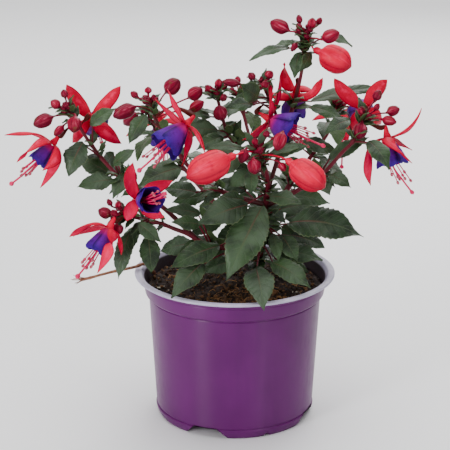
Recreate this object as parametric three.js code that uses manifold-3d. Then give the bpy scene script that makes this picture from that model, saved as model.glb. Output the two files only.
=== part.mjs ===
// Potted fuchsia: thin nursery pot, compost, a dry twig, leafy shoots, bud bunches and open blooms.
// Millimetres, +Z up, +X to the right, -Y towards the viewer, origin at the middle of the pot's underside.
import * as THREE from 'three';
import { mergeVertices } from 'three/addons/utils/BufferGeometryUtils.js';
import Module from 'manifold-3d';

const wasm = await Module();
wasm.setup();

// Driving dimensions of the pot
const potHeight = 89;
const rimRadius = 60;
const rimWidth = 4.2;
const rimDrop = 1.8;
const wallThickness = 1;
const stepHeight = 75;
const wallTopRadius = 51.5;
const collarFootRadius = 53.6;
const collarTopRadius = 55;
const liningSlope = 0.18;
const footRadius = 46.6;
const footBand = 5.8;
const floorHeight = 6.6;
const archHeight = 6;
const archAngles = [-111.5, -21.5, 68.5, 158.5];
const archWidth = 26;
const archSlope = 0.9;
const notchHeight = 2.4;
const notchWidth = 5;
const padRadius = 15;
const drainRadius = 3;
const drainRing = 30;
const drainCount = 6;
const potSides = 28;

// Driving dimensions of the compost and of the seams between pieces
const soilLevel = 80;
const soilLump = 1.1;
const seam = 0.3;
const fuseTolerance = 0.12;

// Driving dimensions of the plant
const bladeThickness = 0.6;
const petioleHalfWidth = 0.6;
const tubeLength = 7;
const tubeRadius = 2.3;
const ovaryRadius = 1.5;
const pedicelRadius = 0.55;
const sepalHalfWidth = (mouthRadius) => Math.min(4.3, 1.9 + 0.3 * mouthRadius);
const petalCount = 4;
const petalLayer = 0.45;
const petalAngles = [-67.5, -22.5, 22.5, 67.5];
const petalFoot = 2.2;
const stamenCount = 5;
const filamentRadius = 0.38;
const styleRadius = 0.5;
const splitGap = 0.003;
const columnRadius = 1.3;

// Shoots: path of the stem, radius at foot and tip, share where the flowering tip begins, then its leaves.
// A leaf is: share of the stem, foot of the blade, tip, width, way the upper face looks, rise of the midrib.
// A bud is: share of the stem, neck, tip, radius.
const shoots = {
  main: {
    path: [[13, 18, 55], [13, 15, 82], [16, 3, 103], [17, -5, 117], [18, -9, 133], [19, -13, 146],
      [18, -19, 155], [15, -26, 164], [13, -30, 171]],
    radii: [2.3, 1.1],
    split: 0.93,
    leaves: [
      [0.52, [31, -15, 123], [74, -26, 118], 23, [0, -0.6, 0.8], 7],
      [0.60, [16, -20, 135], [-5, -50, 100], 22, [-0.1, -0.85, 0.5], 4],
      [0.50, [-9, -30, 114], [-37, -43, 105], 15, [-0.1, -0.7, 0.7], 3],
      [0.44, [-18, -36, 106], [-36, -57, 92], 14, [-0.2, -0.8, 0.6], 3],
      [0.40, [12, -34, 102], [16, -66, 88], 17, [0, -0.75, 0.66], 4],
      [0.42, [21, -30, 104], [43, -46, 94], 14, [0.2, -0.7, 0.7], 3],
      [0.56, [22, -22, 119], [25, -34, 106], 8, [0.1, -0.9, 0.4], 1],
      [0.49, [29, 2, 117], [37, 1, 105], 10, [0.1, -0.9, 0.4], 1],
      [0.54, [27, -19, 117], [36, -34, 106], 11, [0.1, -0.9, 0.5], 1],
      [0.47, [33, -4, 112], [53, -10, 106], 14, [0.1, -0.6, 0.8], 2],
      [0.43, [26, -14, 105], [51, -24, 103], 14, [0, -0.6, 0.8], 3],
      [0.72, [9, -12, 141], [10, -19, 155], 7, [0, -0.9, -0.2], 1],
      [0.70, [20, -18, 140], [38, -26, 138], 11, [0, -0.6, 0.8], 2],
      [0.71, [7, -25, 137], [-21, -39, 130], 18, [0, -0.7, 0.7], 3],
      [0.77, [9, -11, 153], [-4, -14, 145], 10, [0, -0.9, 0.4], 1],
      [0.53, [-6, 0, 122], [-27, -2, 111], 11, [-0.1, -0.8, 0.6], 2],
      [0.59, [26, -1, 127], [48, 4, 128], 11, [0, -0.7, 0.7], 2],
      [0.48, [5, 6, 116], [-12, 2, 101], 12, [0, -0.8, 0.6], 2],
      [0.60, [34, 6, 134], [57, 14, 126], 11, [0, -0.7, 0.7], 2],
      [0.90, [18, -24, 166], [42, -24, 172], 9, [0, -0.6, 0.8], 1],
      [0.28, [3, 24, 93], [-20, 34, 93], 13, [0, -0.5, 0.85], 3],
      [0.30, [24, 22, 97], [47, 32, 95], 14, [0, -0.5, 0.85], 3],
      [0.45, [2, 12, 116], [-20, 22, 122], 12, [0, -0.6, 0.8], 2],
      [0.46, [30, 10, 118], [50, 20, 116], 12, [0, -0.6, 0.8], 2],
      [0.31, [2, 6, 93], [-22, -4, 88], 12, [0, -0.7, 0.7], 2],
      [0.32, [26, 6, 94], [44, 0, 87], 12, [0, -0.7, 0.7], 2],
      [0.61, [7, 5, 137], [-11, 9, 141], 12, [0, -0.7, 0.7], 2],
      [0.67, [9, 0, 146], [0, 5, 155], 8, [0, -0.8, 0.5], 1],
    ],
    buds: [
      [0.98, [-4, -44, 170], [-27, -52, 161], 8.2],
      [0.97, [32, -34, 164], [50, -44, 153], 7.8],
      [0.99, [27, -28, 181], [23, -34, 172], 3.7],
      [0.95, [6, -35, 173], [3, -39, 166], 3],
      [0.96, [10, -37, 168], [11, -41, 160], 3.7],
      [0.94, [25, -31, 164], [28, -34, 160], 2.2],
      [0.98, [17, -29, 178], [18, -29, 182], 2],
      [0.98, [11, -33, 175], [11, -35, 179], 1.8],
    ],
  },
  top: {
    from: ['main', 0.72],
    path: [[24, -2, 155], [28, 5, 168], [36, 8, 195], [39, 5, 212], [40, 2, 226], [40, 0, 232]],
    radii: [1.4, 0.9],
    split: 0.93,
    leaves: [
      [0.91, [31, 2, 223], [8, -6, 217], 7, [0, -0.5, 0.9], 3],
      [0.89, [33, 5, 225], [23, 9, 223], 6, [0, -0.5, 0.9], 1],
      [0.90, [49, 4, 229], [67, 0, 224], 7, [0, -0.5, 0.9], 3],
      [0.86, [37, -1, 221], [34, -5, 207], 9, [-0.5, -0.85, 0], 1],
      [0.87, [43, -1, 221], [37, -9, 212], 8, [0.6, -0.8, 0.1], 1],
      [0.20, [31, 1, 158], [41, -3, 149], 8, [0.2, -0.9, 0.3], 1],
      [0.28, [39, 8, 166], [61, 12, 158], 10, [0, -0.7, 0.7], 2],
      [0.52, [44, 3, 188], [63, -5, 182], 9, [0, -0.6, 0.8], 2],
      [0.56, [44, 16, 188], [92, 46, 189], 9, [0, -0.6, 0.8], 4],
    ],
    buds: [
      [0.975, [49, -1, 221], [66, -8, 214], 7.6],
      [0.98, [31, 1, 233], [20, 2, 238], 4],
      [0.99, [43, -2, 235], [44, -3, 241], 2.6],
      [0.99, [37, 1, 237], [36, 2, 242], 1.8],
      [0.98, [47, 3, 236], [49, 4, 240], 1.8],
      [0.96, [49, -9, 230], [58, -15, 235], 3.8],
      [0.94, [35, -4, 227], [32, -7, 223], 1.8],
    ],
  },
  right: {
    from: ['main', 0.64],
    path: [[38, -12, 143], [51, -14, 153], [62, -12, 165], [68, -10, 171], [70, -8, 177], [75, -5, 184]],
    radii: [1.5, 0.9],
    split: 0.86,
    leaves: [
      [0.82, [66, -12, 184], [51, -20, 178], 10, [-0.1, -0.6, 0.8], 2],
      [0.45, [54, -9, 160], [78, -1, 171], 9, [0, -0.8, 0.6], 2],
      [0.80, [76, -18, 173], [87, -32, 160], 12, [0.3, -0.8, 0.5], 3],
      [0.44, [54, -18, 153], [66, -27, 148], 9, [0, -0.7, 0.7], 2],
      [0.42, [50, -19, 150], [54, -28, 144], 8, [0, -0.9, 0.4], 1],
    ],
    buds: [
      [0.92, [73, -9, 182], [71, -13, 173], 4],
      [0.99, [87, -7, 187], [94, -10, 190], 3],
      [0.97, [84, -10, 184], [92, -14, 183], 2.8],
      [0.98, [80, -6, 194], [83, -7, 200], 2.7],
      [0.98, [80, -9, 189], [82, -11, 193], 1.8],
      [0.94, [72, -11, 187], [71, -13, 191], 1.5],
    ],
  },
  low: {
    from: ['main', 0.37],
    path: [[-1, -6, 105], [-15, -18, 110], [-28, -22, 119], [-34, -24, 122], [-43, -28, 127],
      [-54, -32, 131], [-64, -35, 135]],
    radii: [1.9, 0.9],
    split: 0.91,
    leaves: [
      [0.38, [-20, -20, 130], [-40, -24, 134], 9, [0, -0.7, 0.7], 2],
      [0.30, [-20, -13, 112], [-33, -20, 98], 11, [-0.1, -0.8, 0.6], 2],
      [0.24, [-25, 4, 104], [-45, 10, 97], 13, [0, -0.7, 0.7], 2],
      [0.40, [-20, -30, 127], [-36, -38, 131], 9, [0, -0.8, 0.6], 1],
      [0.86, [-60, -33, 124], [-67, -39, 97], 11, [-0.4, -0.9, 0.2], 2],
      [0.80, [-55, -28, 126], [-66, -24, 106], 9, [-0.3, -0.9, 0.2], 2],
      [0.74, [-50, -32, 121], [-48, -38, 100], 12, [0.2, -0.95, 0.2], 2],
      [0.83, [-55, -38, 130], [-42, -44, 121], 9, [0.1, -0.8, 0.6], 1],
    ],
    buds: [
      [0.96, [-70, -39, 135], [-77, -41, 139], 3.2],
      [0.98, [-67, -42, 136], [-69, -46, 140], 2],
      [0.98, [-66, -37, 139], [-66, -38, 143], 2],
      [0.97, [-70, -36, 140], [-72, -37, 144], 1.6],
      [0.95, [-66, -39, 131], [-67, -41, 124], 3.2],
    ],
  },
  left: {
    from: ['low', 0.5],
    path: [[-40, -18, 132], [-55, -8, 141], [-70, -3, 150], [-85, 0, 168], [-92, 0, 180], [-97, 0, 188]],
    radii: [1.5, 0.9],
    split: 0.86,
    leaves: [
      [0.68, [-88, -5, 169], [-96, -14, 151], 15, [-0.4, -0.9, 0.2], 2],
      [0.48, [-73, 1, 148], [-93, 10, 156], 13, [-0.2, -0.7, 0.7], 2],
      [0.45, [-71, -4, 146], [-92, -9, 143], 12, [-0.1, -0.7, 0.7], 2],
      [0.55, [-71, -6, 156], [-57, -13, 167], 8, [-0.3, -0.8, 0.5], 1],
      [0.52, [-71, 5, 160], [-77, 12, 149], 9, [-0.3, -0.8, 0.4], 1],
      [0.76, [-84, -1, 178], [-69, 4, 187], 9, [0, -0.7, 0.7], 2],
      [0.40, [-64, -5, 150], [-71, -12, 137], 9, [-0.3, -0.9, 0.3], 1],
    ],
    buds: [
      [0.95, [-105, -4, 184], [-116, -8, 180], 4],
      [0.96, [-92, -6, 185], [-93, -10, 176], 4],
      [0.99, [-101, -2, 189], [-106, -3, 193], 2.8],
      [0.99, [-98, 0, 194], [-99, 0, 199], 2.2],
      [0.93, [-99, -5, 179], [-104, -9, 174], 2.4],
    ],
  },
  upleft: {
    from: ['main', 0.65],
    path: [[0, -14, 139], [-16, -14, 146], [-29, -12, 159], [-39, -8, 173], [-46, -5, 183], [-49, -3, 192]],
    radii: [1.6, 0.9],
    split: 0.86,
    leaves: [
      [0.12, [5, -18, 138], [-9, -24, 142], 8, [0, -0.8, 0.5], 1],
      [0.46, [-31, -17, 157], [-56, -25, 148], 16, [-0.1, -0.7, 0.7], 3],
      [0.80, [-51, -7, 186], [-61, -13, 170], 10, [-0.3, -0.9, 0.3], 2],
      [0.60, [-32, -4, 172], [-18, 8, 180], 12, [0.1, -0.7, 0.7], 2],
      [0.32, [-22, -4, 138], [-42, 4, 138], 12, [0, -0.7, 0.7], 2],
      [0.29, [-16, 2, 134], [-37, 3, 130], 10, [0, -0.7, 0.7], 2],
    ],
    buds: [
      [0.93, [-40, -4, 198], [-32, -6, 206], 4.6],
      [0.90, [-27, -4, 195], [-19, -7, 201], 3.9],
      [0.90, [-26, -18, 191], [-18, -22, 197], 3],
      [0.95, [-57, -4, 190], [-70, -8, 185], 4.2],
      [0.99, [-56, -2, 195], [-60, -2, 198], 2],
      [0.98, [-50, -2, 197], [-50, -2, 201], 2.1],
    ],
  },
  mid: {
    from: ['main', 0.8],
    path: [[7, -10, 163], [-4, -6, 174], [-8, -5, 187], [-11, -5, 198]],
    radii: [1.2, 0.9],
    split: 0.82,
    leaves: [
      [0.40, [0, -14, 168], [-17, -20, 167], 9, [0, -0.8, 0.6], 1],
      [0.55, [-7, -12, 174], [-22, -26, 170], 10, [-0.1, -0.8, 0.6], 2],
      [0.60, [-10, -8, 177], [-30, -14, 179], 12, [0, -0.8, 0.6], 1],
      [0.46, [1, 2, 179], [-12, 8, 167], 9, [0, -0.8, 0.5], 1],
      [0.74, [-14, -5, 184], [-30, -9, 188], 8, [0, -0.6, 0.8], 2],
    ],
    buds: [
      [0.88, [-8, -12, 184], [-9, -16, 193], 4],
      [0.98, [-14, -6, 199], [-16, -7, 203], 2.1],
      [0.98, [-10, -7, 202], [-9, -8, 207], 2.2],
      [0.94, [-7, -10, 195], [-6, -13, 199], 2],
    ],
  },
  upper: {
    from: ['top', 0.29],
    path: [[25, 4, 180], [20, 2, 192], [16, -4, 203]],
    radii: [1, 0.8],
    split: 0.8,
    leaves: [
      [0.66, [10, -9, 192], [-5, -12, 191], 9, [0, -0.6, 0.8], 2],
      [0.72, [13, -9, 196], [3, -18, 206], 12, [0, -0.9, 0.4], 1],
      [0.50, [10, 9, 193], [-4, 13, 186], 8, [0, -0.7, 0.6], 1],
    ],
    buds: [
      [0.98, [11, -5, 206], [8, -6, 210], 2.2],
      [0.96, [17, -10, 203], [17, -13, 206], 2.2],
      [0.98, [18, -5, 207], [21, -6, 211], 2.6],
      [0.90, [3, -8, 204], [-7, -10, 206], 2.4],
    ],
  },
  backLeft: {
    from: ['main', 0.34],
    path: [[-4, 24, 114], [-26, 42, 134], [-46, 54, 156], [-54, 60, 172]],
    radii: [1.6, 0.9],
    split: 0.9,
    leaves: [],
    buds: [
      [0.95, [-60, 62, 170], [-69, 66, 162], 4],
      [0.98, [-52, 66, 176], [-50, 72, 170], 3],
      [0.98, [-55, 60, 177], [-56, 60, 182], 2],
    ],
  },
  backRight: {
    from: ['main', 0.4],
    path: [[25, 20, 122], [42, 38, 142], [58, 48, 162], [64, 52, 178]],
    radii: [1.6, 0.9],
    split: 0.9,
    leaves: [],
    buds: [
      [0.95, [70, 54, 176], [78, 58, 167], 4],
      [0.98, [62, 58, 182], [58, 66, 180], 3],
      [0.98, [65, 52, 183], [66, 52, 188], 2],
    ],
  },
  backMid: {
    from: ['main', 0.55],
    path: [[14, 24, 142], [8, 44, 164], [2, 58, 184]],
    radii: [1.4, 0.9],
    split: 0.9,
    leaves: [],
    buds: [
      [0.95, [8, 64, 182], [13, 70, 174], 4],
      [0.98, [-4, 62, 188], [-12, 66, 186], 3],
      [0.98, [2, 59, 189], [2, 60, 194], 2],
    ],
  },
};

// Open blooms: shoot and share where the pedicel leaves, ovary, throat, middle of the mouth,
// radius of the mouth, the four sepal tips and the tip of the style.
const blooms = [
  ['left', 0.90, [-101, -5, 172], [-106, -6, 168], [-115, -10, 158], 6,
    [[-133, -8, 174], [-125, -20, 161], [-110, -23, 157], [-115, 3, 139]], [-130, -14, 146]],
  ['left', 0.88, [-87, 3, 180], [-84, 8, 180], [-82, 19, 173], 8,
    [[-98, 9, 200], [-67, 14, 198], [-67, 11, 164], [-96, 13, 164]], [-79, 32, 157]],
  ['upleft', 0.915, [-25, -26, 191], [-28, -32, 186], [-40, -40, 175], 10,
    [[-38, -30, 206], [-45, -24, 199], [-17, -44, 173], [-30, -34, 163]], [-54, -46, 163]],
  ['low', 0.94, [-58, -33, 140], [-54, -38, 144], [-46, -51, 148], 8,
    [[-57, -42, 167], [-35, -44, 157], [-40, -45, 136], [-61, -46, 134]], [-38, -72, 158]],
  ['low', 0.93, [-67, -44, 132], [-71, -48, 130], [-78, -53, 118], 7,
    [[-93, -50, 126], [-92, -40, 123], [-77, -60, 108], [-64, -52, 116]], [-89, -56, 104]],
  ['upper', 0.6, [11, -2, 187], [20, -6, 183], [33, -10, 177], 11.5,
    [[19, 1, 204], [26, 4, 206], [4, -16, 173], [17, 6, 169]], [51, -18, 170]],
  ['top', 0.66, [37, 11, 204], [36, 14, 194], [35, 20, 181], 8,
    [[29, 14, 212], [51, 9, 204], [20, 22, 193], [42, 30, 192]], [33, 32, 158]],
  ['right', 0.97, [76, 7, 185], [76, 13, 185], [75, 26, 180], 8,
    [[58, 12, 203], [89, 13, 202], [72, 22, 169], [87, 22, 173]], [73, 46, 172]],
  ['right', 0.93, [82, -5, 177], [88, -8, 172], [91, -12, 157], 9.5,
    [[107, -8, 190], [104, 3, 162], [79, -9, 144], [101, -22, 161]], [103, -15, 141]],
  ['backLeft', 0.96, [-48, 76, 166], [-47, 82, 160], [-46, 87, 145], 8,
    [[-69, 82, 150], [-48, 64, 148], [-27, 88, 154], [-46, 104, 156]], [-45, 91, 120]],
  ['backRight', 0.96, [66, 78, 172], [68, 84, 166], [70, 89, 151], 8,
    [[91, 86, 155], [72, 73, 147], [50, 88, 159], [68, 106, 161]], [70, 93, 126]],
];

// Dry twig: its foot in the compost, its way over the rim and its frayed end
const twigPath = [[-46, 17, 76], [-50, 12, 84], [-54, 5, 90.7], [-60, -3, 91.6], [-73, -16, 93], [-88, -26, 92]];
const twigRadius = 1;
const twigFrays = [[-93, -28, 95], [-92, -31, 91], [-95, -24, 91]];

const vec = (point) => new THREE.Vector3(...point);

// Small repeatable random numbers from 0 to 1
function seededRandom(seed) {
  let state = seed >>> 0;
  return () => {
    state = (state + 0x6d2b79f5) >>> 0;
    let mixed = Math.imul(state ^ (state >>> 15), state | 1);
    mixed ^= mixed + Math.imul(mixed ^ (mixed >>> 7), mixed | 61);
    return ((mixed ^ (mixed >>> 14)) >>> 0) / 4294967296;
  };
}

// A closed three.js geometry as a solid that can be joined and cut
function toSolid(geometry) {
  const bare = geometry.clone();
  bare.deleteAttribute('normal');
  bare.deleteAttribute('uv');
  const merged = mergeVertices(bare, 1e-4);
  return new wasm.Manifold(new wasm.Mesh({
    numProp: 3,
    vertProperties: Float32Array.from(merged.attributes.position.array),
    triVerts: Uint32Array.from(merged.index.array),
  }));
}

function toMesh(name, solid, colour, roughness) {
  const mesh = solid.getMesh();
  const geometry = new THREE.BufferGeometry();
  geometry.setAttribute('position', new THREE.Float32BufferAttribute(mesh.vertProperties, 3));
  geometry.setIndex([...mesh.triVerts]);
  geometry.computeVertexNormals();
  const material = new THREE.MeshStandardMaterial({ color: colour, roughness, metalness: 0 });
  const result = new THREE.Mesh(geometry, material);
  result.name = name;
  return result;
}

const fuse = (solids) => solids.reduce((whole, solid) => whole.add(solid)).simplify(fuseTolerance);

function indexedSolid(points, index) {
  const geometry = new THREE.BufferGeometry().setFromPoints(points);
  geometry.setIndex(index);
  return toSolid(geometry);
}

// Plate between two grids of points, with each cell split the same way on both faces
function plateSolid(upper, lower) {
  const rows = upper.length;
  const cols = upper[0].length;
  const layer = rows * cols;
  const at = (row, col) => row * cols + col;
  const index = [];
  for (let row = 0; row + 1 < rows; row += 1) {
    for (let col = 0; col + 1 < cols; col += 1) {
      const corners = [at(row, col), at(row, col + 1), at(row + 1, col + 1), at(row + 1, col)];
      for (const [a, b, c] of [[0, 1, 2], [0, 2, 3]]) {
        index.push(corners[a], corners[b], corners[c]);
        index.push(layer + corners[c], layer + corners[b], layer + corners[a]);
      }
    }
  }
  const border = [];
  for (let col = 0; col < cols; col += 1) border.push(at(0, col));
  for (let row = 1; row < rows; row += 1) border.push(at(row, cols - 1));
  for (let col = cols - 2; col >= 0; col -= 1) border.push(at(rows - 1, col));
  for (let row = rows - 2; row > 0; row -= 1) border.push(at(row, 0));
  border.forEach((start, place) => {
    const end = border[(place + 1) % border.length];
    index.push(start, layer + start, layer + end, start, layer + end, end);
  });
  return indexedSolid([...upper.flat(), ...lower.flat()], index);
}

// Rings of corners round points, carried back from the last one; a ridge factor pulls in every other corner
function rodRings(points, radii, sides, lastSide, ridge = 1) {
  const last = points.length - 1;
  const rings = [];
  let side = lastSide ?? new THREE.Vector3(0.3, 0.9, 0.4);
  for (let place = last; place >= 0; place -= 1) {
    const ahead = points[Math.min(place + 1, last)];
    const behind = points[Math.max(place - 1, 0)];
    const tangent = ahead.clone().sub(behind).normalize();
    side = squared(side, tangent);
    const other = tangent.clone().cross(side);
    rings[place] = Array.from({ length: sides }, (_, corner) => {
      const angle = 2 * Math.PI * corner / sides;
      const radius = radii[place] * (corner % 2 ? ridge : 1);
      return points[place].clone().addScaledVector(side, radius * Math.cos(angle))
        .addScaledVector(other, radius * Math.sin(angle));
    });
  }
  return rings;
}

// Skin that grows from loop to loop of corners; a loop may also start a branch from its wall
function newSkin() {
  const points = [];
  const index = [];
  const cap = (loop) => {
    for (let corner = 1; corner + 1 < loop.length; corner += 1) index.push(loop[0], loop[corner], loop[corner + 1]);
  };
  const number = (loop) => loop.map((point) => points.push(point) - 1);
  const wall = (from, to, isOpen = () => false) => from.forEach((_, corner) => {
    const next = (corner + 1) % from.length;
    if (isOpen(corner)) return;
    index.push(from[corner], from[next], to[next], from[corner], to[next], to[corner]);
  });
  const grow = (start, loops) => {
    const end = loops.reduce((from, loop) => {
      const to = number(loop);
      wall(from, to);
      return to;
    }, start);
    cap(end);
  };
  return { number, wall, cap, grow, solid: () => indexedSolid(points, index) };
}

function rodSolid(points, radii, sides, ridge = 1) {
  const skin = newSkin();
  const rings = rodRings(points, radii, sides, null, ridge);
  const first = skin.number(rings[0]);
  skin.cap([...first].reverse());
  skin.grow(first, rings.slice(1));
  return skin.solid();
}

// Points at even shares of a smooth curve through the given points
function smoothPoints(points, steps, start = 0, end = 1) {
  const curve = new THREE.CatmullRomCurve3(points, false, 'centripetal');
  return Array.from({ length: steps + 1 }, (_, step) => curve.getPointAt(start + (end - start) * step / steps));
}

// Direction made square to an axis
function squared(direction, axis) {
  return direction.clone().addScaledVector(axis, -direction.dot(axis)).normalize();
}

// Ring of a blade: points across it on the centre line, with folded and waved edges
function bladeRow(centre, tangent, face, halfWidth, thickness, fold, wave) {
  const normal = squared(face, tangent);
  const side = tangent.clone().cross(normal);
  const across = [-1, 0, 1].map((share) => centre.clone().addScaledVector(side, share * halfWidth)
    .addScaledVector(normal, Math.abs(share) * fold * halfWidth + share * wave));
  return [1, -1].map((way) => across.map((point) => point.clone().addScaledVector(normal, way * thickness / 2)));
}

function bladeSolid(rows) {
  return plateSolid(rows.map((row) => row[0]), rows.map((row) => row[1]));
}

// Toothed, pointed leaf on its petiole
const leafOutline = (share) => Math.sin(Math.PI * share ** 0.8) ** 0.75 * (1.08 - 0.2 * share);

function leafSolid(root, [, foot, tip, width, faceWay, rise]) {
  const face = vec(faceWay).normalize();
  const start = vec(foot);
  const end = vec(tip);
  const along = end.clone().sub(start);
  const crest = start.clone().lerp(end, 0.5).addScaledVector(squared(face, along.clone().normalize()), 2 * rise);
  const midrib = new THREE.QuadraticBezierCurve3(start, crest, end);
  const slender = width < 10 ? [0.2, 0.6, 1] : [0.12, 0.4, 0.7, 1];
  const shares = width > 15 ? [0.08, 0.26, 0.46, 0.66, 0.85, 1] : slender;
  const petiole = start.clone().sub(root).normalize();
  const rows = [bladeRow(root.clone().addScaledVector(petiole, 0.5), petiole, face, petioleHalfWidth, 1, 0, 0)];
  shares.forEach((share, place) => {
    const tooth = place % 2 ? 1.06 : 0.94;
    const halfWidth = width / 2 * leafOutline(share) * tooth + 0.35;
    const wave = (place % 2 ? 0.03 : -0.03) * width * (1 - share);
    const tangent = midrib.getTangent(share);
    rows.push(bladeRow(midrib.getPoint(share), tangent, face, halfWidth, bladeThickness, 0.16, wave));
  });
  return bladeSolid(rows);
}

// Bud on its pedicel: slim stalk, swelling body and pointed tip
function budSolid(root, [, neck, tip, radius]) {
  const base = vec(neck);
  const end = vec(tip);
  const large = radius > 5;
  const body = large ? [[-0.15, 0.12], [0, 0.3], [0.15, 0.62], [0.35, 0.95], [0.6, 1], [0.82, 0.66], [1, 0.08]]
    : [[0, 0.8 / radius], [0.3, 1], [0.66, 0.95], [1, 0.15]];
  const stalk = base.clone().sub(root).normalize();
  const points = [root.clone().addScaledVector(stalk, 0.4), ...body.map(([share]) => base.clone().lerp(end, share))];
  const radii = [pedicelRadius, ...body.map(([, share]) => radius * share)];
  const sides = radius > 4.1 ? 5 : 4;
  return rodSolid(points, radii, large ? 8 : sides, large ? 0.9 : 1);
}

// Stem of a shoot as corners with the share of its length at each, kept because much grows from it
const stems = {};

function stemOf(name) {
  if (!stems[name]) {
    const { from, path } = shoots[name];
    const points = [...(from ? [stemPoint(...from)] : []), ...path.map(vec)];
    const lengths = points.map((point, place) => (place ? point.distanceTo(points[place - 1]) : 0));
    const whole = lengths.reduce((sum, length) => sum + length);
    let walked = 0;
    stems[name] = { points, shares: lengths.map((length) => (walked += length) / whole) };
  }
  return stems[name];
}

function stemPoint(name, share) {
  const { points, shares } = stemOf(name);
  const place = Math.max(1, shares.findIndex((reached) => reached >= share - 1e-6));
  const part = (share - shares[place - 1]) / (shares[place] - shares[place - 1]);
  return points[place - 1].clone().lerp(points[place], part);
}

// Length of a shoot's stem between two shares, made wider by extra
function stemSolid(name, start = 0, end = 1, extra = 0) {
  const corners = stemOf(name).shares.filter((share) => share > start + 0.01 && share < end - 0.01);
  const shares = [start, ...corners, end];
  const radii = shares.map((share) => THREE.MathUtils.lerp(...shoots[name].radii, share) + extra);
  return rodSolid(shares.map((share) => stemPoint(name, share)), radii, 5);
}

// A piece cut back from the stem that carries it, without the scraps of the cut
function cutToStem(solid, name) {
  const pieces = solid.subtract(stemSolid(name, 0, 1, seam)).decompose();
  return pieces.reduce((best, piece) => (piece.volume() > best.volume() ? piece : best));
}

// Pairs of leaves set crosswise up a stem, for the shoots away from the viewer
function leafPairs(name, seed) {
  const random = seededRandom(seed);
  const leaves = [];
  [0.42, 0.65, 0.86].forEach((share, pair) => {
    const tangent = stemPoint(name, share + 0.04).sub(stemPoint(name, share)).normalize();
    const first = squared(new THREE.Vector3(Math.cos(pair * 1.7 + seed), Math.sin(pair * 1.7 + seed), 0), tangent);
    for (const way of [1, -1]) {
      const out = first.clone().multiplyScalar(way);
      const root = stemPoint(name, share);
      const size = 1 - 0.35 * share + 0.2 * random();
      const foot = root.clone().addScaledVector(out, 7).add(new THREE.Vector3(0, 0, 2));
      const tip = foot.clone().addScaledVector(out, 24 * size);
      tip.z -= 5 + 9 * random();
      leaves.push([share, foot.toArray(), tip.toArray(), 13.5 * size, [0.4 * out.x, 0.4 * out.y, 1], 3]);
    }
  });
  return leaves;
}

function shootSolid(name) {
  const { from, split, leaves } = shoots[name];
  const stem = stemSolid(name, splitGap, split - splitGap);
  const solid = fuse([stem, ...leaves.map((leaf) => leafSolid(stemPoint(name, leaf[0]), leaf))]);
  return from ? cutToStem(solid, from[0]) : solid;
}

function budsSolid(name) {
  const { split, buds } = shoots[name];
  const stem = stemSolid(name, split + splitGap, 1);
  return fuse([stem, ...buds.map((bud) => budSolid(stemPoint(name, bud[0]), bud))]);
}

// Frame of a bloom: its throat, the way it opens, two directions square to that and its first sepal's angle
function bloomFrame([, , , throat, mouth, mouthRadius, tips]) {
  const origin = vec(throat);
  const axis = vec(mouth).sub(origin).normalize();
  const first = squared(new THREE.Vector3(0.3, 0.2, 1), axis);
  const second = axis.clone().cross(first);
  const place = (height, radius, angle) => origin.clone().addScaledVector(axis, height)
    .addScaledVector(first, radius * Math.cos(angle)).addScaledVector(second, radius * Math.sin(angle));
  const frame = { origin, axis, first, second, place, length: origin.distanceTo(vec(mouth)), mouthRadius };
  const turns = orderedTips(frame, tips).map((tip, sepal) => angleRound(frame, tip) - sepal * Math.PI / 2);
  frame.firstSepal = turns.reduce((sum, turn) => sum + turn, 0) / turns.length;
  return frame;
}

// Section of a blade that grows out of a wall: corners on its outer face, then back along its inner face
function branchLoop(centre, tangent, inward, halfWidth, thickness, corners) {
  const normal = squared(inward, tangent);
  const side = normal.clone().cross(tangent);
  const shares = Array.from({ length: corners }, (_, corner) => 2 * corner / (corners - 1) - 1);
  const face = (way) => shares.map((share) => centre.clone().addScaledVector(side, way * share * halfWidth)
    .addScaledVector(normal, way > 0 ? -thickness / 2 : thickness / 2));
  return [...face(1), ...face(-1)];
}

// Loops of one sepal, from the tube's wall out to the tip
function sepalLoops({ origin, axis, mouthRadius }, angle, tip, place) {
  const end = vec(tip);
  const out = place(0, 1, angle).sub(origin);
  const start = place(-0.6, tubeRadius, angle);
  const crest = start.clone().addScaledVector(out, 0.5 * origin.distanceTo(end)).addScaledVector(axis, -1.5);
  const midline = new THREE.QuadraticBezierCurve3(start, crest, end);
  const half = sepalHalfWidth(mouthRadius);
  return [[0.34, 1], [0.72, 0.85], [1, 0.1]].map(([share, width]) => (
    branchLoop(midline.getPoint(share), midline.getTangent(share), axis, width * half, bladeThickness, 3)));
}

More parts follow.
